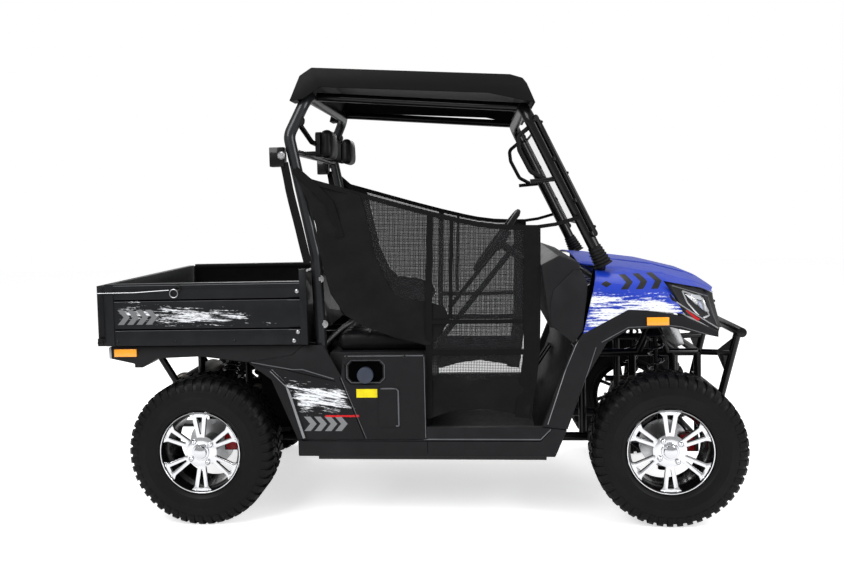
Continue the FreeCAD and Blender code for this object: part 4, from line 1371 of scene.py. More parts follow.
    def rim(self, palette: Palette, wardrobe: Wardrobe) -> None:
        """Builds the rim with its hub, nuts, lip bolts and brake disc.

        Args:
            palette: finishes of the vehicle.
            wardrobe: takes the pieces.
        """
        face, inner, seat, p = self.face, self.face - self.width, self.seat - 0.6, palette
        barrel = [(seat, inner + 20), (seat, face - 17), (168.5, face - 14), (164, face - 14),
                  (162, face - 18), (160, face - 24), (152, face - 40), (150, face - 62), (150, inner + 26),
                  (158, inner + 20)]
        hub = [(AXIS_GAP, 462), (40, 462), (40, face - 44), (64, face - 40), (66, face - 32), (58, face - 29),
               (42, face - 28), (AXIS_GAP, face - 28)]
        disc = [(38, 468), (98, 468), (98, 472), (38, 472)]
        cap = [(AXIS_GAP, face - 46), (36, face - 46), (36, face - 26), (34, face - 22), (27, face - 21),
               (24, face - 15), (12, face - 12), (AXIS_GAP, face - 11.5)]
        lip = [(165, face - 15), (169.2, face - 15), (169.2, face - 12), (166, face - 11.5)]
        nut = [(AXIS_GAP, face - 40), (11, face - 40), (11, face - 22), (9, face - 16), (5, face - 12.5),
               (AXIS_GAP, face - 11.5)]
        stud = [(AXIS_GAP, face - 22), (3.6, face - 22), (3.6, face - 17), (2.4, face - 16),
                (AXIS_GAP, face - 16)]
        made = [(self.spokes(), p.pocket)]
        made += [(Bench.turned("rim_part", profile, self.hub, self.outward, sides), finish)
                 for profile, sides, finish in ((hub, 48, p.pocket), (barrel, 72, p.pocket),
                                                (disc, 48, p.disc), (cap, 36, p.chrome), (lip, 72, p.bright))]
        made.append((self.bolts(nut, 35, 50, 4, 12), p.chrome))
        made += [(self.bolts(stud, self.spoke_turn + shift, 160, self.spoke_count, 8), p.chrome)
                 for shift in (-9, 9)]
        for piece, finish in made:
            wardrobe.paint(piece, finish)
        for piece, _ in made[:2]:
            wardrobe.second(piece, p.bright, lambda face: face.normal.dot(self.outward) > 0.55)
        for piece, _ in made:
            Bench.smoothed(piece, 32)
        rim = Bench.joined("spoke_rim_" + self.tag, [piece for piece, _ in made])
        wardrobe.place(rim, "wheel_" + self.tag, "wheel_alloy", ["rim_" + self.tag])

    def brake(self, palette: Palette, wardrobe: Wardrobe) -> None:
        """Builds the caliper that straddles the disc ahead of the axle.

        Args:
            palette: finishes of the vehicle.
            wardrobe: takes the pieces.
        """
        jaw = [(66, 448), (116, 448), (122, 456), (122, 494), (116, 502), (66, 502), (66, 480), (105, 480),
               (105, 460), (66, 460)]
        outline = [at(self.axle.value + along, self.side.value * across, self.radius - 34)
                   for along, across in jaw]
        caliper = Bench.plate("brake_caliper_" + self.tag, outline, Vector((0, 0, 0.068)))
        Bench.swung(caliper, 4, self.hub)
        Bench.softened(caliper, 3.0)
        wardrobe.paint(caliper, palette.caliper)
        body = "chassis" if self.axle is Axle.REAR else "knuckle_" + self.side.name.lower()
        wardrobe.place(caliper, body, "cast_metal")

    def build(self, palette: Palette, wardrobe: Wardrobe) -> None:
        """Builds the whole wheel.

        Args:
            palette: finishes of the vehicle.
            wardrobe: takes the pieces.
        """
        self.tyre(palette, wardrobe)
        self.rim(palette, wardrobe)
        self.brake(palette, wardrobe)


@dataclass
class Chassis:
    """Frame, arms, drive and other metal under the body, dressed from the CAD nodes."""

    tube_nodes: tuple[str, ...] = ("frame_base", "frame_rear", "frame_front", "front_arms", "front_bumper",
                                   "drawbar", "strut_barrel", "tie_rods", "steering_column", "pedals",
                                   "screen_frame")
    cast_nodes: tuple[str, ...] = ("knuckle_left", "knuckle_right", "rack_housing")
    dull_nodes: tuple[str, ...] = ("engine_block", "rear_axle", "rear_arms")

    def build(self, palette: Palette, wardrobe: Wardrobe) -> None:
        """Dresses every node of the chassis.

        Args:
            palette: finishes of the vehicle.
            wardrobe: takes the pieces.
        """
        for node in self.tube_nodes:
            wardrobe.dress(node, palette.tube, "frame_steel", 1.0, 50)
        for node in self.cast_nodes:
            wardrobe.dress(node, palette.cast, "cast_metal", 2.0, 50)
        for node in self.dull_nodes:
            wardrobe.dress(node, palette.dull, "cast_metal", 3.0, 50)
        wardrobe.dress("muffler", palette.exhaust, "exhaust_steel", 4.0, 50, 3)
        wardrobe.dress("strut_rod", palette.chrome, "strut_steel", 0.5, 50)
        wardrobe.dress("radiator", palette.core, "core_alloy", 2.0)


@dataclass
class Body:
    """Body panels, bed, cab structure and lamps, dressed from the CAD nodes.

    Attributes:
        bed_ends: rear and front end of the bed's painted side.
        bed_flank: faces further from the middle than this are painted, in metres.
    """

    bed_ends: tuple[float, float] = (-356, 437)
    bed_flank: float = 0.617

    def on_flank(self, face: bpy.types.MeshPolygon) -> bool:
        """True for the outer faces of the bed's sides."""
        rear, front = self.bed_ends
        return rear < (face.center.x - REAR_AXLE_X) * 1000 < front and abs(face.center.y) > self.bed_flank

    def build(self, palette: Palette, wardrobe: Wardrobe) -> dict[str, Piece]:
        """Dresses every panel, and returns them by their node's name.

        Args:
            palette: finishes of the vehicle.
            wardrobe: takes the pieces.

        Returns:
            The dressed panels.
        """
        p, panels = palette, {}
        for node, finish, slot, *edges in (
            ("bed_tub", p.steel, "bed_steel", 2.0), ("tailgate", p.gate, "bed_steel", 2.0),
            ("hood", p.blue, "blue_panel", 3.0), ("front_fenders", p.blue, "blue_panel", 3.0),
            ("front_flares", p.plastic, "dark_panel", 3.0), ("rear_fenders", p.plastic, "dark_panel", 3.0),
            ("side_panels", p.side, "dark_panel", 2.0), ("sills", p.plastic, "dark_panel", 4.0),
            ("front_fascia", p.plastic, "dark_panel", 2.0), ("headlights", p.lamp, "lamp_lens", 1.0),
            ("cowl_sides", p.plastic, "dark_panel", 4.0), ("roof", p.roof, "roof_plastic", 5.0),
            ("dashboard", p.plastic, "dark_panel", 6.0, 20, 3), ("floor_pan", p.plastic, "dark_panel", 1.0),
            ("seat_base", p.plastic, "dark_panel", 4.0), ("fuel_cap", p.cap, "dark_panel", 1.5),
            ("rops_rear_hoop", p.hoop, "frame_steel", 1.0, 60),
            ("rops_front_hoop", p.tube, "frame_steel", 1.0, 60),
            ("grab_handles", p.grip, "grip_rubber", 1.0, 60),
            ("steering_wheel", p.grip, "grip_rubber", 1.0, 60),
            ("windscreen", p.glass, "clear_screen", 0.5), ("side_markers", p.amber, "amber_lens", 1.5),
            ("tail_lamps", p.red, "tail_lens", 1.5), ("seat_belts", p.tube, "net_fabric", 3.0),
        ):
            panels[node] = wardrobe.dress(node, finish, slot, *edges)
        wardrobe.second(panels["bed_tub"], p.bed, self.on_flank)
        wardrobe.second(panels["tail_lamps"], p.streak, lambda face: abs(face.normal.x) < 0.5)
        return panels


@dataclass
class Trims:
    """Beads, gaps, screws, lamps' fittings and latches on the panels of one side.

    Attributes:
        side: side of the vehicle.
        panels: dressed panels by their node's name.
        palette: finishes of the vehicle.
        wardrobe: takes the finished pieces.
    """

    side: Side
    panels: dict[str, Piece]
    palette: Palette
    wardrobe: Wardrobe

    @property
    def inward(self) -> Vector:
        """Direction from outside onto this side."""
        return Vector((0, -self.side.value, 0))

    def on(self, node: str) -> Trim:
        """Lays trims on the outer face of a panel."""
        return Trim(self.panels[node], self.inward)

    def places(self, points: Sequence[Point], out: float = FLANK) -> list[Vector]:
        """Places of (x, z) points beside the vehicle."""
        return [at(x, self.side.value * out, z) for x, z in points]

    def beads(self, trim: Trim, rows: Iterable[tuple[Sequence[Point], float, float, Material]],
              out: float = FLANK, step: float = 25.0) -> list[Painted]:
        """Strips on a panel.

        Args:
            trim: the panel's face.
            rows: line of (x, z) points, width, height and finish of each strip.
            out: distance from the middle that the lines are drawn at.
            step: greatest distance between points of a strip.

        Returns:
            The strips with their finishes.
        """
        return [(trim.bead(self.places(SideNet.filled(line, step), out), width, height), finish)
                for line, width, height, finish in rows]

    def patches(self, trim: Trim, rows: Iterable[tuple[Sequence[Point], float, Material]],
                out: float = FLANK) -> list[Painted]:
        """Plates on a panel.

        Args:
            trim: the panel's face.
            rows: (x, z) corners, height and finish of each plate.
            out: distance from the middle that the corners are drawn at.

        Returns:
            The plates with their finishes.
        """
        return [(trim.patch(self.places(corners, out), height), finish) for corners, height, finish in rows]

    def send(self, name: str, node: str, slot: str, pieces: Sequence[Painted]) -> None:
        """Paints the pieces, joins them and sends them with the body of a panel.

        Args:
            name: name of the joined piece, without its side.
            node: CAD node of the panel.
            slot: material slot that it stands for.
            pieces: the pieces with their finishes.
        """
        for piece, finish in pieces:
            self.wardrobe.paint(piece, finish)
        whole = Bench.joined("%s_%s" % (name, self.side.name.lower()), [piece for piece, _ in pieces])
        self.wardrobe.place(whole, self.wardrobe.body(node), slot)

    def side_panel(self) -> None:
        """Bevels and recess ring as beads of painted highlight, split line, bare label and screws of the side
        panel.
        """
        trim, p = self.on("side_panels"), self.palette
        recess = [(612, 600), (630, 581), (750, 581), (768, 600), (768, 655), (750, 674), (630, 674),
                  (612, 655)]
        floor = [(690 + 0.9 * (x - 690), 627.5 + 0.9 * (z - 627.5)) for x, z in recess]
        label = [(652, 523), (738, 523), (738, 558), (652, 558)]
        # The edge and bevel beads are painted highlights along the panel's bevels, shoulder, split line and
        # recess rim; the groove strips and recess floor are painted shade.
        made = self.beads(trim, (
            ([(430, 356), (364, 572), (298, 638)], 12, 2.5, p.edge),
            ([(215, 671), (388, 640), (430, 640), (560, 600)], 5, 2, p.bevel),
            ([(300, 655), (430, 622), (566, 590)], 3, 1, p.groove),
            ([(583, 606), (682, 353)], 4, 0.6, p.groove), ([(589, 606), (688, 353)], 3, 1.2, p.bevel),
            ([(752, 560), (816, 560), (824, 551), (824, 408)], 7, 2, p.bevel),
            ([(824, 406), (812, 406)], 7, 2, p.bevel), ([(606, 694), (930, 694)], 5, 1.5, p.bevel),
            ([(932, 690), (932, 356)], 4, 1.2, p.bevel)))
        made += self.beads(trim, [([*recess, recess[0]], 6, 0.8, p.bevel)], step=12)
        made += self.patches(trim, ((floor, 0.4, p.groove), (label, 0.8, p.label)))
        made.append((trim.screws(self.places([(614, 690), (852, 690)]), 7), p.tube))
        self.send("side_panel_trim", "side_panels", "dark_panel", made)

    def lower_panels(self) -> None:
        """Groove and joint of the sill, and the creases of the flare's leg."""
        p = self.palette
        # The lighter bevel and edge beads here are painted highlights along the sill's groove and the flare's
        # creases and rim.
        made = self.beads(self.on("sills"), (
            ([(420, 350), (1395, 350), (1436, 392)], 6, 1.2, p.bevel),
            ([(420, 343), (1395, 343), (1440, 392)], 4, 0.6, p.groove),
            ([(939, 345), (939, 292)], 3, 0.5, p.groove)))
        made += self.beads(self.on("front_flares"), (
            ([(1548, 752), (1500, 640), (1424, 412)], 4, 1.5, p.edge),
            ([(1618, 722), (1596, 655), (1516, 418)], 4, 1.5, p.bevel),
            ([(1640, 742), (1744, 800), (1905, 806), (1950, 800), (2070, 762)], 4, 1.2, p.bevel)))
        self.send("lower_trim", "sills", "dark_panel", made)

    def lamp(self) -> None:
        """Bezel with a bead of painted highlight, reflector, a patch of painted shade holding a painted blue
        reflection, and silver edges of the headlight.
        """
        face, lens, p = self.on("front_fascia"), self.on("headlights"), self.palette
        rim = [(1960, 938), (2050, 902), (2066, 838), (2030, 828), (1976, 893), (1960, 938)]
        # The bevel bead is a painted highlight along the bezel's edge.
        made = self.beads(face, ((rim, 9, 4, p.streak),
                                 ([(1916, 962), (2084, 905), (2100, 800)], 5, 2, p.bevel)), LAMP_FACE, 15)
        made += self.beads(face, [([(2132, 900), (2152, 800)], 5, 2, p.streak)], 400, 15)
        # Patches on the lens: the chrome reflector, a patch of painted shade, and a painted blue reflection
        # on it.
        made += self.patches(lens, (
            ([(1972, 925), (2012, 909), (2020, 880), (1986, 895)], 0.6, p.chrome),
            ([(2020, 903), (2042, 895), (2050, 850), (2028, 858)], 0.8, p.groove),
            ([(2026, 895), (2037, 891), (2043, 860), (2033, 864)], 1.4, p.lens_blue)), LAMP_FACE)
        self.send("headlight_trim", "front_fascia", "dark_panel", made)

    def fender(self) -> None:
        """Corner piece under the headlight, with its silver edge, light stripe and red patch."""
        p = self.palette
        ahead = [(1908, 930), (1932, 903), (1990, 862), (2100, 792), (2092, 764), (2040, 778), (1960, 818),
                 (1925, 862)]
        outline = [at(x, self.side.value * (600 - max(0, x - 1930) * 0.12), z) for x, z in ahead]
        corner = Bench.plate("corner", outline, self.inward * 0.014)
        Bench.softened(corner, 2.0)
        face = Trim(corner, self.inward)
        made = [(corner, p.plastic)]
        made += self.beads(face, (([(1930, 899), (1990, 857), (2094, 790)], 6, 2, p.streak),
                                  ([(1946, 858), (2000, 826), (2070, 784)], 11, 1, p.streak)), CORNER_FACE)
        made += self.beads(face, [([(1966, 862), (2018, 824)], 15, 1.6, p.caliper)], CORNER_FACE, 12)
        self.send("fender_corner", "front_fenders", "dark_panel", made)

    def tops(self) -> None:
        """Ribs of the bed's floor and of the roof, the floor's rear lip, and the hood's lines and vent."""
        p, way = self.palette, self.side.value
        down = Vector((0, 0, -1))
        bed, roof, hood = (Trim(self.panels[node], down) for node in ("bed_tub", "roof", "hood"))

        def lane(x0: float, x1: float, y: float, z: float) -> list[Vector]:
            """Line along the vehicle in twelve parts."""
            return [at(x0 + (x1 - x0) * share / 12, way * y, z) for share in range(13)]

        ribs = [(bed.bead(lane(-330, 425, y, 764), 56, 3.0), p.steel) for y in (70, 210, 350, 490)]
        edge = ((-393, 756), (-392, 759.5), (-386, 761), (-380, 760.5), (-380, 752), (-391, 752))
        lip = Bench.plate("floor_lip", [at(x, 0, z) for x, z in edge], Vector((0, way * 0.588, 0)))
        self.send("bed_ribs", "bed_tub", "bed_steel", [*ribs, (lip, p.steel)])
        self.send("roof_ribs", "roof", "roof_plastic",
                  [(roof.bead(lane(540, 1270, y, 1850), 80, 4.0), p.roof) for y in (130, 330)])
        vent = [at(1700, way * y, 1050) for y in range(40, 170, 12)]
        lines = [(hood.bead(lane(1640, 2080, 210, 1050), 12, 2.5), p.blue),
                 (hood.bead(lane(1640, 2060, 228, 1050), 4, 0.6), p.groove),
                 (hood.bead(vent, 14, 2), p.groove)]
        self.send("hood_lines", "hood", "blue_panel", lines)

    def bed(self) -> None:
        """Grooves, screws, seal and the gate's latch wire of the bed's side."""
        trim, p, way = self.on("bed_tub"), self.palette, self.side.value
        y, side_face, low, high = way * 640, 635, -352, 434
        made = self.beads(trim, [([(low, z), (high, z)], 9, 0.6, p.groove) for z in (938, 816)], side_face,
                          60)
        # Thin lighter bevel strips beside the grooves and along the top: painted highlights.
        made += self.beads(trim, [([(low, z), (high, z)], 3, 1.0, p.bevel) for z in (932, 810, 1000)],
                           side_face, 60)
        made += [(trim.screws(self.places([(422, 967), (422, 800), (405, 764)], side_face), 8), p.bolt),
                 (trim.screws(self.places([(155, 764), (-95, 764), (-345, 764), (-345, 967)], side_face), 6),
                  p.steel)]
        made += [(Bench.cylinder("latch_wire", at(x0, y, z0), at(x1, y, z1), 1.8, 8), p.bolt)
                 for (x0, z0), (x1, z1) in (((-420, 971), (-260, 972)), ((-260, 972), (-112, 980)))]
        made.append((Bench.ring("latch_ring", at(-92, y, 966), AXLE_LINE, 17, 2.2), p.bolt))
        made.append((Bench.ring("latch_hook", at(-74, y - way * 4, 988), AXLE_LINE, 10, 4), p.steel))
        lips = ((-397, 596), (-393, 592), (-389, 592), (-389, 634), (-395, 634), (-397, 630))
        seal = Bench.plate("gate_seal", [at(x, way * across, 766) for x, across in lips],
                           Vector((0, 0, 0.232)))
        Bench.softened(seal, 1.0)
        made.append((seal, p.grip))
        self.send("bed_fittings", "bed_tub", "bed_steel", made)

    def button(self, profile: Sequence[Point], x: float, y: float, z: float, sides: int = 16) -> Piece:
        """Turned piece that stands out from the vehicle's side.

        Args:
            profile: ring of (radius, height) corners.
            x: its place along the vehicle.
            y: distance of its foot from the middle.
            z: its height.
            sides: number of flat sides round it.

        Returns:
            The piece.
        """
        return Bench.turned("button", profile, at(x, self.side.value * y, z), -self.inward, sides)

    def belts(self) -> None:
        """Seat belt from its reel down the hoop, with the reel's bolt and the belt's anchors."""
        net = SideNet(self.side, plane=583.0)
        strap = net.strap(net.filled(((376, 1492), (394, 1380), (430, 1220), (462, 1080)), 30), 34, 0)
        reel = [(AXIS_GAP, 0), (17, 0), (17, 6), (12, 12), (AXIS_GAP, 12)]
        anchor = [(AXIS_GAP, 0), (16, 0), (16, 4), (8, 5), (8, 10), (AXIS_GAP, 10)]
        made = [(strap, self.palette.webbing)]
        for profile, x, y, z in ((reel, 366, 588, 1520), (anchor, 508, 560, 1010), (anchor, 520, 560, 822)):
            made.append((self.button(profile, x, y, z), self.palette.bolt))
            Bench.smoothed(made[-1][0], 35)
        self.send("belt_strap", "seat_belts", "net_fabric", made)

    def struts(self) -> None:
        """Strut from the hoop to the head restraint, and the stub that ties the grab handle to its pillar."""
        path = [(424, 548, 1668), (438, 505, 1640), (462, 410, 1584), (474, 330, 1576)]
        rods = [(start, end, 11) for start, end in zip(path, path[1:])]
        rods.append(((1374, 537, 1388), (1492, 527, 1396), 9))
        made = [self.button([(AXIS_GAP, -9), (26, -9), (29, -5), (29, 5), (26, 9), (AXIS_GAP, 9)], 430, 540,
                            1664, 24)]
        for start, end, radius in rods:
            low, high = (at(x, self.side.value * y, z) for x, y, z in (start, end))
            made.append(Bench.cylinder("strut", low, high, radius, 14))
        for piece in made:
            Bench.smoothed(piece, 40)
        self.send("cab_struts", "rops_rear_hoop", "frame_steel",
                  [(piece, self.palette.tube) for piece in made])

    def boot(self) -> None:
        """Ribbed rubber boot where the screen's pillar enters the hood."""
        foot, head = at(1652, self.side.value * 520, 1062), at(1352, self.side.value * 530, 1690)
        axis = (head - foot).normalized()
        ribs: list[Point] = [(24, 0), (39, 0)]
        for step in range(6):
            ribs += [(39 - step * 1.7, 4 + step * 13), (33 - step * 1.3, 10 + step * 13)]
        ribs += [(28, 84), (24, 84)]
        boot = Bench.turned("pillar_boot", ribs, foot - axis * 0.022, axis, 28)
        Bench.smoothed(boot, 25)
        self.send("pillar_boot", "rops_front_hoop", "grip_rubber", [(boot, self.palette.grip)])

    def build(self) -> None:
        """Builds all trims of this side."""
        self.side_panel()
        self.lower_panels()
        self.lamp()
        self.fender()
        self.tops()
        self.bed()
        self.belts()
        self.boot()
        self.struts()


@dataclass
class SideNet:
    """Door net of one side: open mesh, plain fabric, and the straps that bind them.

    Attributes:
        side: side of the vehicle.
        plane: distance of the net from the middle of the vehicle.
        cell: width of one cell of the mesh.
        strand: width of a strand between cells.
        fold_step: distance between the cuts that let plain fabric fold.
        top: upper edge as (x, z) points.
        front: front edge as (x, z) points from the top down.
        rear: edge between mesh and plain fabric, from the top down.
        shift: how much further back that edge lies.
        cut: the plain fabric's flat width and height, in metres, and the share of them it fills.
    """

    side: Side
    plane: float = 574.0
    cell: float = 6.4
    strand: float = 1.9
    fold_step: float = 24.0
    top: tuple[Point, ...] = ((409, 1458), (486, 1412), (684, 1352), (830, 1308), (970, 1268), (1090, 1237),
                              (1157, 1222), (1240, 1210), (1320, 1205), (1398, 1203))
    front: tuple[Point, ...] = ((1398, 1203), (1396, 960), (1388, 700), (1350, 432))
    rear: tuple[Point, ...] = ((684, 1352), (712, 1250), (745, 1090), (800, 965), (842, 925), (940, 915),
                               (1020, 890), (1040, 836), (1000, 776), (956, 735))
    shift: float = 0.0
    cut: tuple[float, float, float] = (0.64, 0.73, 0.36)

    @property
    def border(self) -> list[Point]:
        """Edge between mesh and plain fabric at its real place, from the top edge down."""
        moved = [(x - self.shift, z) for x, z in self.rear]
        return [(moved[0][0], self.level(self.top, moved[0][0])), *moved[1:]]

    @property
    def front_band(self) -> list[Point]:
        """Middle of the wide strap along the front edge."""
        return [(x - 22, z) for x, z in self.front]

    def spot(self, x: float, z: float, out: float = 0.0) -> Vector:
        """Place on the net, which billows a little."""
        wave = 3.5 * math.sin(x / 57 + z / 83) + 2.0 * math.sin(z / 31 - x / 120)
        return at(x, self.side.value * (self.plane + wave + out), z)

    @staticmethod
    def level(line: Sequence[Point], x: float) -> float:
        """Height of a line of points above a given x.

        Args:
            line: (x, z) points from the rear forwards.
            x: where it is read.

        Returns:
            The height.
        """
        for (x0, z0), (x1, z1) in zip(line, line[1:]):
            if x0 <= x <= x1:
                return z0 + (z1 - z0) * (x - x0) / (x1 - x0)
        return line[0][1] if x < line[0][0] else line[-1][1]

    @staticmethod
    def offset(line: Sequence[Point], z: float) -> float:
        """How far along a line of points lies at a given height.

        Args:
            line: (x, z) points from the top down.
            z: where it is read.

        Returns:
            The distance.
        """
        for (x0, z0), (x1, z1) in zip(line, line[1:]):
            if z1 <= z <= z0:
                return x0 + (x1 - x0) * (z0 - z) / max(1e-6, z0 - z1)
        return line[0][0] if z > line[0][1] else line[-1][0]

    def lattice(self, name: str, x0: float, x1: float, z0: float, z1: float,
                inside: Callable[[float, float], bool], strands: Material,
                weave: Material) -> Piece:
        """Mesh of strands with a fine weave between them, over part of a field.

        Args:
            name: name of the piece.
            x0: rear end of the field.
            x1: front end of the field.
            z0: lower end of the field.
            z1: upper end of the field.
            inside: tells whether a cell belongs to the mesh.
            strands: finish of the strands.
            weave: finish of the cells between them.

        Returns:
            The mesh.
        """
        across = round((x1 - x0) / self.cell)
        up = round((z1 - z0) / self.cell)
        Bench.clear()
        bpy.ops.mesh.primitive_grid_add(x_subdivisions=across, y_subdivisions=up, size=1)
        piece = Bench.started(name)
        places = [(x0 + (vertex.co.x + 0.5) * (x1 - x0), z0 + (vertex.co.y + 0.5) * (z1 - z0))
                  for vertex in piece.data.vertices]
        for vertex, (x, z) in zip(piece.data.vertices, places):
            vertex.co = self.spot(x, z)
        Bench.edit(piece)
        Bench.faces(piece, lambda centre, _: not inside((centre.x - REAR_AXLE_X) * 1000, centre.z * 1000))
        bpy.ops.mesh.delete(type="FACE")
        bpy.ops.mesh.select_all(action="SELECT")
        bpy.ops.mesh.inset(thickness=self.strand / 2 * MM, use_individual=True)
        Bench.done()
        piece.data.materials.append(strands)
        piece.data.materials.append(weave)
        for face in piece.data.polygons:
            face.material_index = int(face.select)
        return piece

    def in_mesh(self, x: float, z: float) -> bool:
        """True where the open mesh is.

        Args:
            x: distance from the rear axle.
            z: height.

        Returns:
            Whether the mesh covers the point.
        """
        if z > self.level(self.top, x) - 6 or x > self.offset(self.front, z) - 6:
            return False
        if z > 735:
            return x > self.offset(self.border, z)
        return x > self.border[-1][0] and z > 590

    def fabric(self, name: str, outline: Sequence[Point]) -> Piece:
        """Sheet of plain fabric with soft folds, a little outside the mesh.

        Args:
            name: name of the piece.
            outline: corners (x, z) in order.

        Returns:
            The sheet.
        """
        piece = Bench.outlined(name, [at(x, 0, z) for x, z in outline])
        for values, axis in ((tuple(x for x, _ in outline), (1, 0, 0)),
                             (tuple(z for _, z in outline), (0, 0, 1))):
            cut = min(values) + self.fold_step
            while cut < max(values):
                Bench.whole(piece)
                bpy.ops.mesh.bisect(plane_co=at(*(cut * share for share in axis)), plane_no=axis)
                Bench.done()
                cut += self.fold_step
        for vertex in piece.data.vertices:
            x, z = (vertex.co.x - REAR_AXLE_X) * 1000, vertex.co.z * 1000
            fold = 5.0 * math.sin((x * 0.8 + z * 0.6) / 30) + 2.5 * math.sin((z - x * 0.4) / 17)
            vertex.co = self.spot(x, z, 1.0 + fold)
        Bench.smoothed(piece, 60)
        return piece

    def strap(self, line: Sequence[Point], width: float, out: float) -> Piece:
        """Flat strap along a line.

        Args:
            line: middle of the strap as (x, z) points.
            width: width of the strap.
            out: how far it lies outside the mesh.

        Returns:
            The strap.
        """
        left, right = [], []
        for index, (x, z) in enumerate(line):
            before, after = line[max(0, index - 1)], line[min(len(line) - 1, index + 1)]
            length = math.hypot(after[0] - before[0], after[1] - before[1])
            nx, nz = -(after[1] - before[1]) / length, (after[0] - before[0]) / length
            left.append(self.spot(x + nx * width / 2, z + nz * width / 2, out))
            right.append(self.spot(x - nx * width / 2, z - nz * width / 2, out))
        piece = Bench.strip("strap", [right, left])
        Bench.modified(piece, "SOLIDIFY", thickness=1.8 * MM, offset=0.0)
        Bench.outwards(piece, merged=False)
        Bench.smoothed(piece, 40)
        return piece

    @staticmethod
    def filled(line: Sequence[Point], step: float = 40.0) -> list[Point]:
        """The same line with points added so that none lie further apart than a step.

        Args:
            line: (x, z) points.
            step: the greatest distance.

        Returns:
            The filled line.
        """
        points = [line[0]]
        for (x0, z0), (x1, z1) in zip(line, line[1:]):
            parts = max(1, math.ceil(math.hypot(x1 - x0, z1 - z0) / step))
            points += [(x0 + (x1 - x0) * part / parts, z0 + (z1 - z0) * part / parts)
                       for part in range(1, parts + 1)]
        return points

    def build(self, palette: Palette, wardrobe: Wardrobe) -> None:
        """Builds the net of this side.

        Args:
            palette: finishes of the vehicle.
            wardrobe: takes the pieces.
        """
        tag = self.side.name.lower()
        mesh = self.lattice("net_mesh_" + tag, self.border[0][0] - 4, 1400, 588, self.border[0][1] + 4,
                            self.in_mesh, palette.mesh, palette.weave)
        low = [point for point in ((942, 733), (814, 763)) if point[0] < self.border[-1][0]]
        outline = [(409, 1456), (486, 1410), *self.border, *low, (700, 806), (610, 860), (553, 948),
                   (520, 1070), (497, 1234), (470, 1330)]
        cloth = self.fabric("net_cloth_" + tag, outline)
        panel = self.fabric("net_panel_" + tag, [(948, 604), (1376, 600), (1350, 432), (1280, 452),
                                                 (1160, 470), (1040, 458), (942, 428)])
        for piece in (cloth, panel):
            wardrobe.paint(piece, palette.fabric)
        straps = [self.strap(self.filled(line), width, out) for line, width, out in (
            (self.top, 20, 3.5), (self.front_band, 66, 4.5),
            (((968, 1266), (958, 1000), (952, 735), (946, 430)), 26, 3.0),
            (((1056, 1244), (1048, 1060), (1042, 840)), 15, 3.0),
            (((956, 828), (1200, 826), (1390, 828)), 18, 3.2),
            (((950, 704), (1200, 702), (1386, 702)), 24, 3.2),
            (((1324, 1150), (1180, 975), (998, 752)), 22, -7.0),
            (((1380, 1203), (1470, 1214), (1566, 1240)), 15, -8.0),
            (((418, 1462), (486, 1400), (560, 1320), (600, 1180)), 34, 6.0))]
        for strap in straps:
            wardrobe.paint(strap, palette.webbing)
        webbing = Bench.joined("net_straps_" + tag, straps)
        for piece in (mesh, cloth, panel, webbing):
            wardrobe.place(piece, "chassis", "net_fabric", ["door_nets"])
        width, height, share = self.cut
        width * height * share


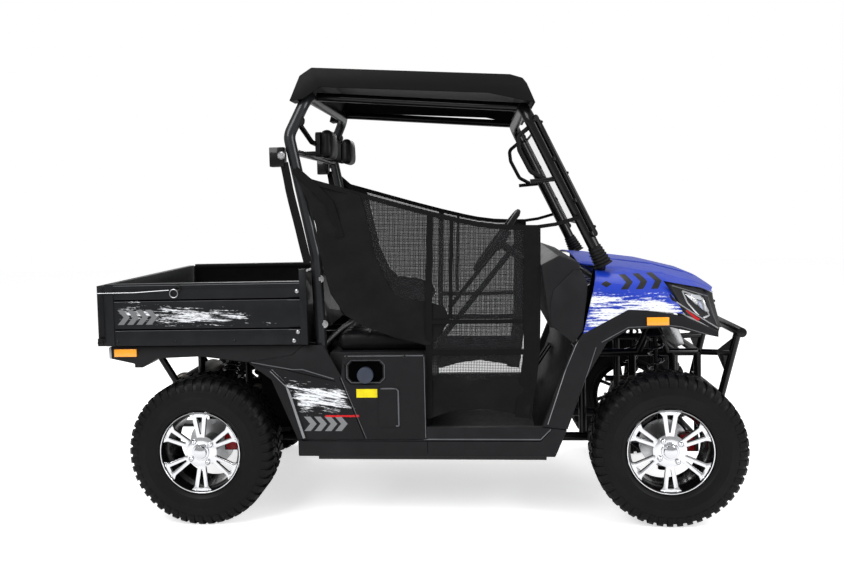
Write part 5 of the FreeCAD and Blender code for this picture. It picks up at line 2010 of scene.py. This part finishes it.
@dataclass
class Seats:
    """Two bucket seats with loose backs and round head restraints.

    Attributes:
        middle: distance of each seat from the middle of the vehicle.
        lean: backward lean of the backs in degrees.
        voxel: size of the cloth's mesh in millimetres.
        pressure: how hard the foam swells.
        frames: number of steps that it swells in.
    """

    middle: float = 300.0
    lean: float = 12.0
    voxel: float = 12.0
    pressure: float = 8.0
    frames: int = 10

    def block(self, name: str, low: Sequence[float], high: Sequence[float], taper: float) -> Piece:
        """Foam block with softened corners, its upper face a little smaller than its lower one.

        Args:
            name: name of the piece.
            low: lowest corner.
            high: highest corner.
            taper: share by which the upper face is smaller.

        Returns:
            The block.
        """
        Bench.clear()
        centre = [(a + b) / 2 for a, b in zip(low, high)]
        bpy.ops.mesh.primitive_cube_add(size=1, location=at(*centre),
                                        scale=[(b - a) * MM for a, b in zip(low, high)])
        piece = Bench.started(name)
        Bench.edit(piece)
        Bench.faces(piece, lambda _, normal: normal.z > 0.9)
        bpy.ops.transform.resize(value=(1 - taper, 1 - taper, 1))
        bpy.ops.mesh.select_all(action="SELECT")
        bpy.ops.mesh.bevel(offset=0.022, segments=4)
        Bench.done()
        return piece

    def stuffed(self, piece: Piece, cap: float) -> None:
        """Swells a block as foam under a cover does.

        Args:
            piece: the block.
            cap: how far a point may move, in millimetres.
        """
        Bench.modified(piece, "REMESH", mode="VOXEL", voxel_size=self.voxel * MM)
        rest = [vertex.co.copy() for vertex in piece.data.vertices]
        Bench.hold(piece)
        cloth = piece.modifiers.new("cloth", "CLOTH")
        cloth.settings.use_pressure = True
        cloth.settings.uniform_pressure_force = self.pressure
        cloth.settings.effector_weights.gravity = 0.0
        cloth.settings.quality = 3
        for step in range(self.frames):
            bpy.context.scene.frame_set(step + 1)
        bpy.ops.object.modifier_apply(modifier=cloth.name)
        bpy.context.scene.frame_set(1)
        for vertex, start in zip(piece.data.vertices, rest):
            move = vertex.co - start
            if move.length > cap * MM:
                vertex.co = start + move.normalized() * cap * MM
        Bench.modified(piece, "SUBSURF", levels=1, render_levels=1)
        Bench.smoothed(piece, 60)

    @staticmethod
    def pressed(piece: Piece, lines: Sequence[tuple[int, float]], depth: float, face: Vector) -> None:
        """Sews channels into the face of a pad.

        Args:
            piece: the pad.
            lines: axis index and place in millimetres of each channel.
            depth: depth of a channel.
            face: direction that the face looks in.
        """
        for vertex in piece.data.vertices:
            facing = max(0.0, vertex.normal.dot(face))
            x, y, z = (vertex.co.x - REAR_AXLE_X) * 1000, vertex.co.y * 1000, vertex.co.z * 1000
            push = sum(math.exp(-((((x, y, z)[axis]) - line) / 7) ** 2) for axis, line in lines)
            vertex.co -= face * facing * min(1.0, push) * depth * MM

    def leaned(self, piece: Piece, foot: Vector) -> None:
        """Leans a seat back about its foot."""
        turn = Matrix.Rotation(math.radians(-self.lean), 4, "Y")
        piece.data.transform(Matrix.Translation(foot) @ turn @ Matrix.Translation(-foot))

    def build(self, palette: Palette, wardrobe: Wardrobe) -> None:
        """Builds both seats.

        Args:
            palette: finishes of the vehicle.
            wardrobe: takes the pieces.
        """
        for side in Side:
            tag = side.name.lower()
            y = side.value * self.middle
            cushion = self.block("cushion", (556, y - 214, 702), (990, y + 214, 776), 0.02)
            self.stuffed(cushion, 9)
            self.pressed(cushion, [(0, 700), (0, 860), (1, y - 120), (1, y + 120)], 7, Vector((0, 0, 1)))
            back = self.block("back", (592, y - 214, 826), (670, y + 214, 1330), 0.18)
            self.stuffed(back, 9)
            self.pressed(back, [(2, 960), (2, 1090), (2, 1210), (1, y - 120), (1, y + 120)], 7,
                         Vector((1, 0, 0)))
            self.leaned(back, at(570.5, y, 812))
            rest = self.block("rest", (492, y - 96, 1512), (546, y + 96, 1640), 0.1)
            self.stuffed(rest, 8)
            shell = self.block("rest_shell", (470, y - 84, 1522), (494, y + 84, 1630), 0.1)
            Bench.smoothed(shell, 50)
            for piece, name, node in ((cushion, "seat_cushion_", "seat_cushions"),
                                      (back, "seat_back_", "seat_backs"),
                                      (rest, "head_rest_", "headrests")):
                piece.name = name + tag
                wardrobe.paint(piece, palette.vinyl)
                wardrobe.place(piece, "chassis", "seat_vinyl", [node])
            shell.name = "head_rest_shell_" + tag
            wardrobe.paint(shell, palette.plastic)
            wardrobe.place(shell, "chassis", "dark_panel")


@dataclass
class Springs:
    """Coil springs over the dampers.

    Attributes:
        wire: radius of the wire.
        turns: number of turns.
    """

    wire: float = 6.5
    turns: int = 7

    def coil(self, name: str, foot: Vector, head: Vector, radius: float) -> Piece:
        """One coil between two seats.

        Args:
            name: name of the piece.
            foot: middle of the lower seat.
            head: middle of the upper seat.
            radius: radius to the middle of the wire, in millimetres.

        Returns:
            The coil.
        """
        axis = head - foot
        Bench.clear()
        bpy.ops.mesh.primitive_circle_add(vertices=8, radius=self.wire * MM, location=(radius * MM, 0, 0),
                                          rotation=(math.pi / 2, 0, 0))
        piece = Bench.started(name)
        Bench.modified(piece, "SCREW", screw_offset=axis.length / self.turns, iterations=self.turns, steps=22,
                       render_steps=22, angle=2 * math.pi, axis="Z", use_merge_vertices=True)
        Bench.edit(piece, "EDGE")
        bpy.ops.mesh.select_non_manifold()
        bpy.ops.mesh.edge_face_add()
        Bench.done()
        piece.rotation_euler = axis.to_track_quat("Z", "Y").to_euler()
        piece.location = foot
        Bench.settle(piece)
        Bench.outwards(piece)
        Bench.smoothed(piece, 50)
        return piece

    def damper(self, name: str, foot: Vector, head: Vector) -> Piece:
        """Damper tube with its spring seats and eyes.

        Args:
            name: name of the piece.
            foot: middle of the lower eye.
            head: middle of the upper eye.

        Returns:
            The damper.
        """
        axis = (head - foot).normalized()
        length = (head - foot).length * 1000
        profile = [(AXIS_GAP, 0), (15, 0), (15, 26), (33, 30), (36, 34), (36, 40), (20, 44),
                   (20, length * 0.55), (9, length * 0.56), (9, length - 64), (36, length - 62),
                   (36, length - 56), (30, length - 52), (17, length - 30), (17, length), (AXIS_GAP, length)]
        return Bench.turned(name, profile, foot, axis, 24)

    def build(self, palette: Palette, wardrobe: Wardrobe) -> None:
        """Builds the four coil-over struts.

        Args:
            palette: finishes of the vehicle.
            wardrobe: takes the pieces.
        """
        for end, foot, head in (("front", (WHEELBASE, 372, 236.4), (WHEELBASE, 300, 781.8)),
                                ("rear", (20, 345, 424), (62, 282, 687.8))):
            parts = []
            for side in Side:
                low = at(foot[0], side.value * foot[1], foot[2])
                high = at(head[0], side.value * head[1], head[2])
                axis = (high - low).normalized()
                coil = self.coil("coil", low + axis * 0.046, high - axis * 0.066, 30)
                wardrobe.paint(coil, palette.coil)
                damper = self.damper("damper", low, high)
                wardrobe.paint(damper, palette.dull)
                parts += [coil, damper]
            struts = Bench.joined("coil_struts_" + end, parts)
            wardrobe.place(struts, "chassis", "frame_steel", [end + "_shocks"])


@dataclass
class Studio:
    """Floor, light and camera of a plain white studio.

    Attributes:
        eye: place of the camera in metres.
        yaw: turn of the camera about the vertical, in radians.
        pitch: tilt of the camera, in radians.
        roll: lean of the camera, in radians.
        focal: focal length in pixels of the picture's width.
        middle: where the view's axis meets the picture, in pixels.
        picture: width and height of the picture in pixels.
        sensor: width of the camera's sensor in millimetres.
        sky: strength of the light from all round.
        glow: light that the floor gives off.
    """

    eye: tuple[float, float, float] = (0.24862, -4.31492, 1.31649)
    yaw: float = -0.1091
    pitch: float = -0.0536
    roll: float = -0.0258
    focal: float = 922.77
    middle: tuple[float, float] = (379.76, 252.59)
    picture: tuple[int, int] = (844, 561)
    sensor: float = 36.0
    sky: float = 0.42
    glow: float = 0.62

    def camera(self) -> None:
        """Sets up the camera."""
        forward = Vector((math.sin(self.yaw) * math.cos(self.pitch),
                          math.cos(self.yaw) * math.cos(self.pitch),
                          math.sin(self.pitch)))
        level = Vector((math.cos(self.yaw), -math.sin(self.yaw), 0))
        upright = level.cross(forward)
        right = level * math.cos(self.roll) + upright * math.sin(self.roll)
        up = upright * math.cos(self.roll) - level * math.sin(self.roll)
        data = bpy.data.cameras.new("studio_camera")
        wide, high = self.picture
        data.sensor_width = self.sensor
        data.lens = self.focal * self.sensor / wide
        data.shift_x = (wide / 2 - self.middle[0]) / wide
        data.shift_y = (self.middle[1] - high / 2) / wide
        data.clip_end = 60.0
        camera = bpy.data.objects.new("studio_camera", data)
        bpy.context.scene.collection.objects.link(camera)
        matrix = Matrix((right, up, -forward)).transposed().to_4x4()
        matrix.translation = Vector(self.eye)
        camera.matrix_world = matrix
        bpy.context.scene.camera = camera

    @staticmethod
    def white_behind(tree: Tree, shaded: Socket, plain: Socket) -> Socket:
        """Plain shader for what the camera sees, also through clear pieces, and another for the rest.

        Args:
            tree: node tree to work in.
            shaded: shader for the rest.
            plain: shader for what the camera sees.

        Returns:
            The mixed shader.
        """
        path = tree.nodes.new("ShaderNodeLightPath")
        seen = Field(tree, path.outputs["Is Camera Ray"])
        seen = seen.most(Field(tree, path.outputs["Is Transmission Ray"]))
        mix = tree.nodes.new("ShaderNodeMixShader")
        tree.links.new(seen.output, mix.inputs[0])
        tree.links.new(shaded, mix.inputs[1])
        tree.links.new(plain, mix.inputs[2])
        return mix.outputs[0]

    def world(self) -> None:
        """White surroundings that light the vehicle at a plain level."""
        world = bpy.data.worlds.new("studio_world")
        bpy.context.scene.world = world
        world.use_nodes = True
        tree = world.node_tree
        tree.nodes.clear()
        soft, bright = (tree.nodes.new("ShaderNodeBackground") for _ in range(2))
        for light, strength in ((soft, self.sky), (bright, 1.0)):
            light.inputs["Color"].default_value = (1, 1, 1, 1)
            light.inputs["Strength"].default_value = strength
        output = tree.nodes.new("ShaderNodeOutputWorld")
        seen = self.white_behind(tree, soft.outputs[0], bright.outputs[0])
        tree.links.new(seen, output.inputs["Surface"])

    def floor(self) -> None:
        """Pale floor that keeps the vehicle's shadow."""
        Bench.clear()
        bpy.ops.mesh.primitive_plane_add(size=30, location=(0, 0, 0))
        floor = Bench.started("studio_floor")
        material = bpy.data.materials.new("studio_floor")
        material.use_nodes = True
        tree = material.node_tree
        plain = tree.nodes["Principled BSDF"]
        plain.inputs["Base Color"].default_value = (0.86, 0.86, 0.86, 1)
        plain.inputs["Roughness"].default_value = 0.95
        glow = tree.nodes.new("ShaderNodeEmission")
        glow.inputs["Strength"].default_value = self.glow
        added = tree.nodes.new("ShaderNodeAddShader")
        tree.links.new(plain.outputs[0], added.inputs[0])
        tree.links.new(glow.outputs[0], added.inputs[1])
        seen = self.white_behind(tree, plain.outputs[0], added.outputs[0])
        tree.links.new(seen, tree.nodes["Material Output"].inputs["Surface"])
        floor.data.materials.append(material)

    def lamps(self) -> None:
        """Large soft lamps above, in front and behind."""
        aim = at(950, 0, 700)
        for name, place, size, power in (
            ("key_lamp", (-2.2, -3.6, 3.6), 2.6, 150), ("front_lamp", (3.4, -2.2, 2.6), 2.2, 95),
            ("back_lamp", (-1.0, 3.8, 3.4), 3.0, 90), ("top_lamp", (0.2, 0.0, 4.6), 3.4, 120),
        ):
            data = bpy.data.lights.new(name, "AREA")
            data.size = size
            data.energy = power
            lamp = bpy.data.objects.new(name, data)
            bpy.context.scene.collection.objects.link(lamp)
            lamp.location = place
            lamp.rotation_euler = (aim - Vector(place)).to_track_quat("-Z", "Y").to_euler()

    def build(self) -> None:
        """Sets up the whole studio."""
        self.camera()
        self.world()
        self.floor()
        self.lamps()
        bpy.context.scene.view_settings.view_transform = "Standard"


def main() -> None:
    """Builds the vehicle's looks and the studio round it."""
    logging.basicConfig(level=logging.INFO, format="%(message)s")
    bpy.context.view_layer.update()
    Studio().build()
    palette = Palette()
    wardrobe = Wardrobe()
    Chassis().build(palette, wardrobe)
    panels = Body().build(palette, wardrobe)
    Seats().build(palette, wardrobe)
    Springs().build(palette, wardrobe)
    for side in Side:
        Trims(side, panels, palette, wardrobe).build()
        net = SideNet(side, shift=110.0, cut=(0.46, 0.73, 0.34)) if side is Side.LEFT else SideNet(side)
        net.build(palette, wardrobe)
        Wheel(Axle.REAR, side, 250, 670).build(palette, wardrobe)
        Wheel(Axle.FRONT, side, 205, 636).build(palette, wardrobe)
    LOG.info("pieces: %d", wardrobe.count)


if __name__ == "__main__":
    main()
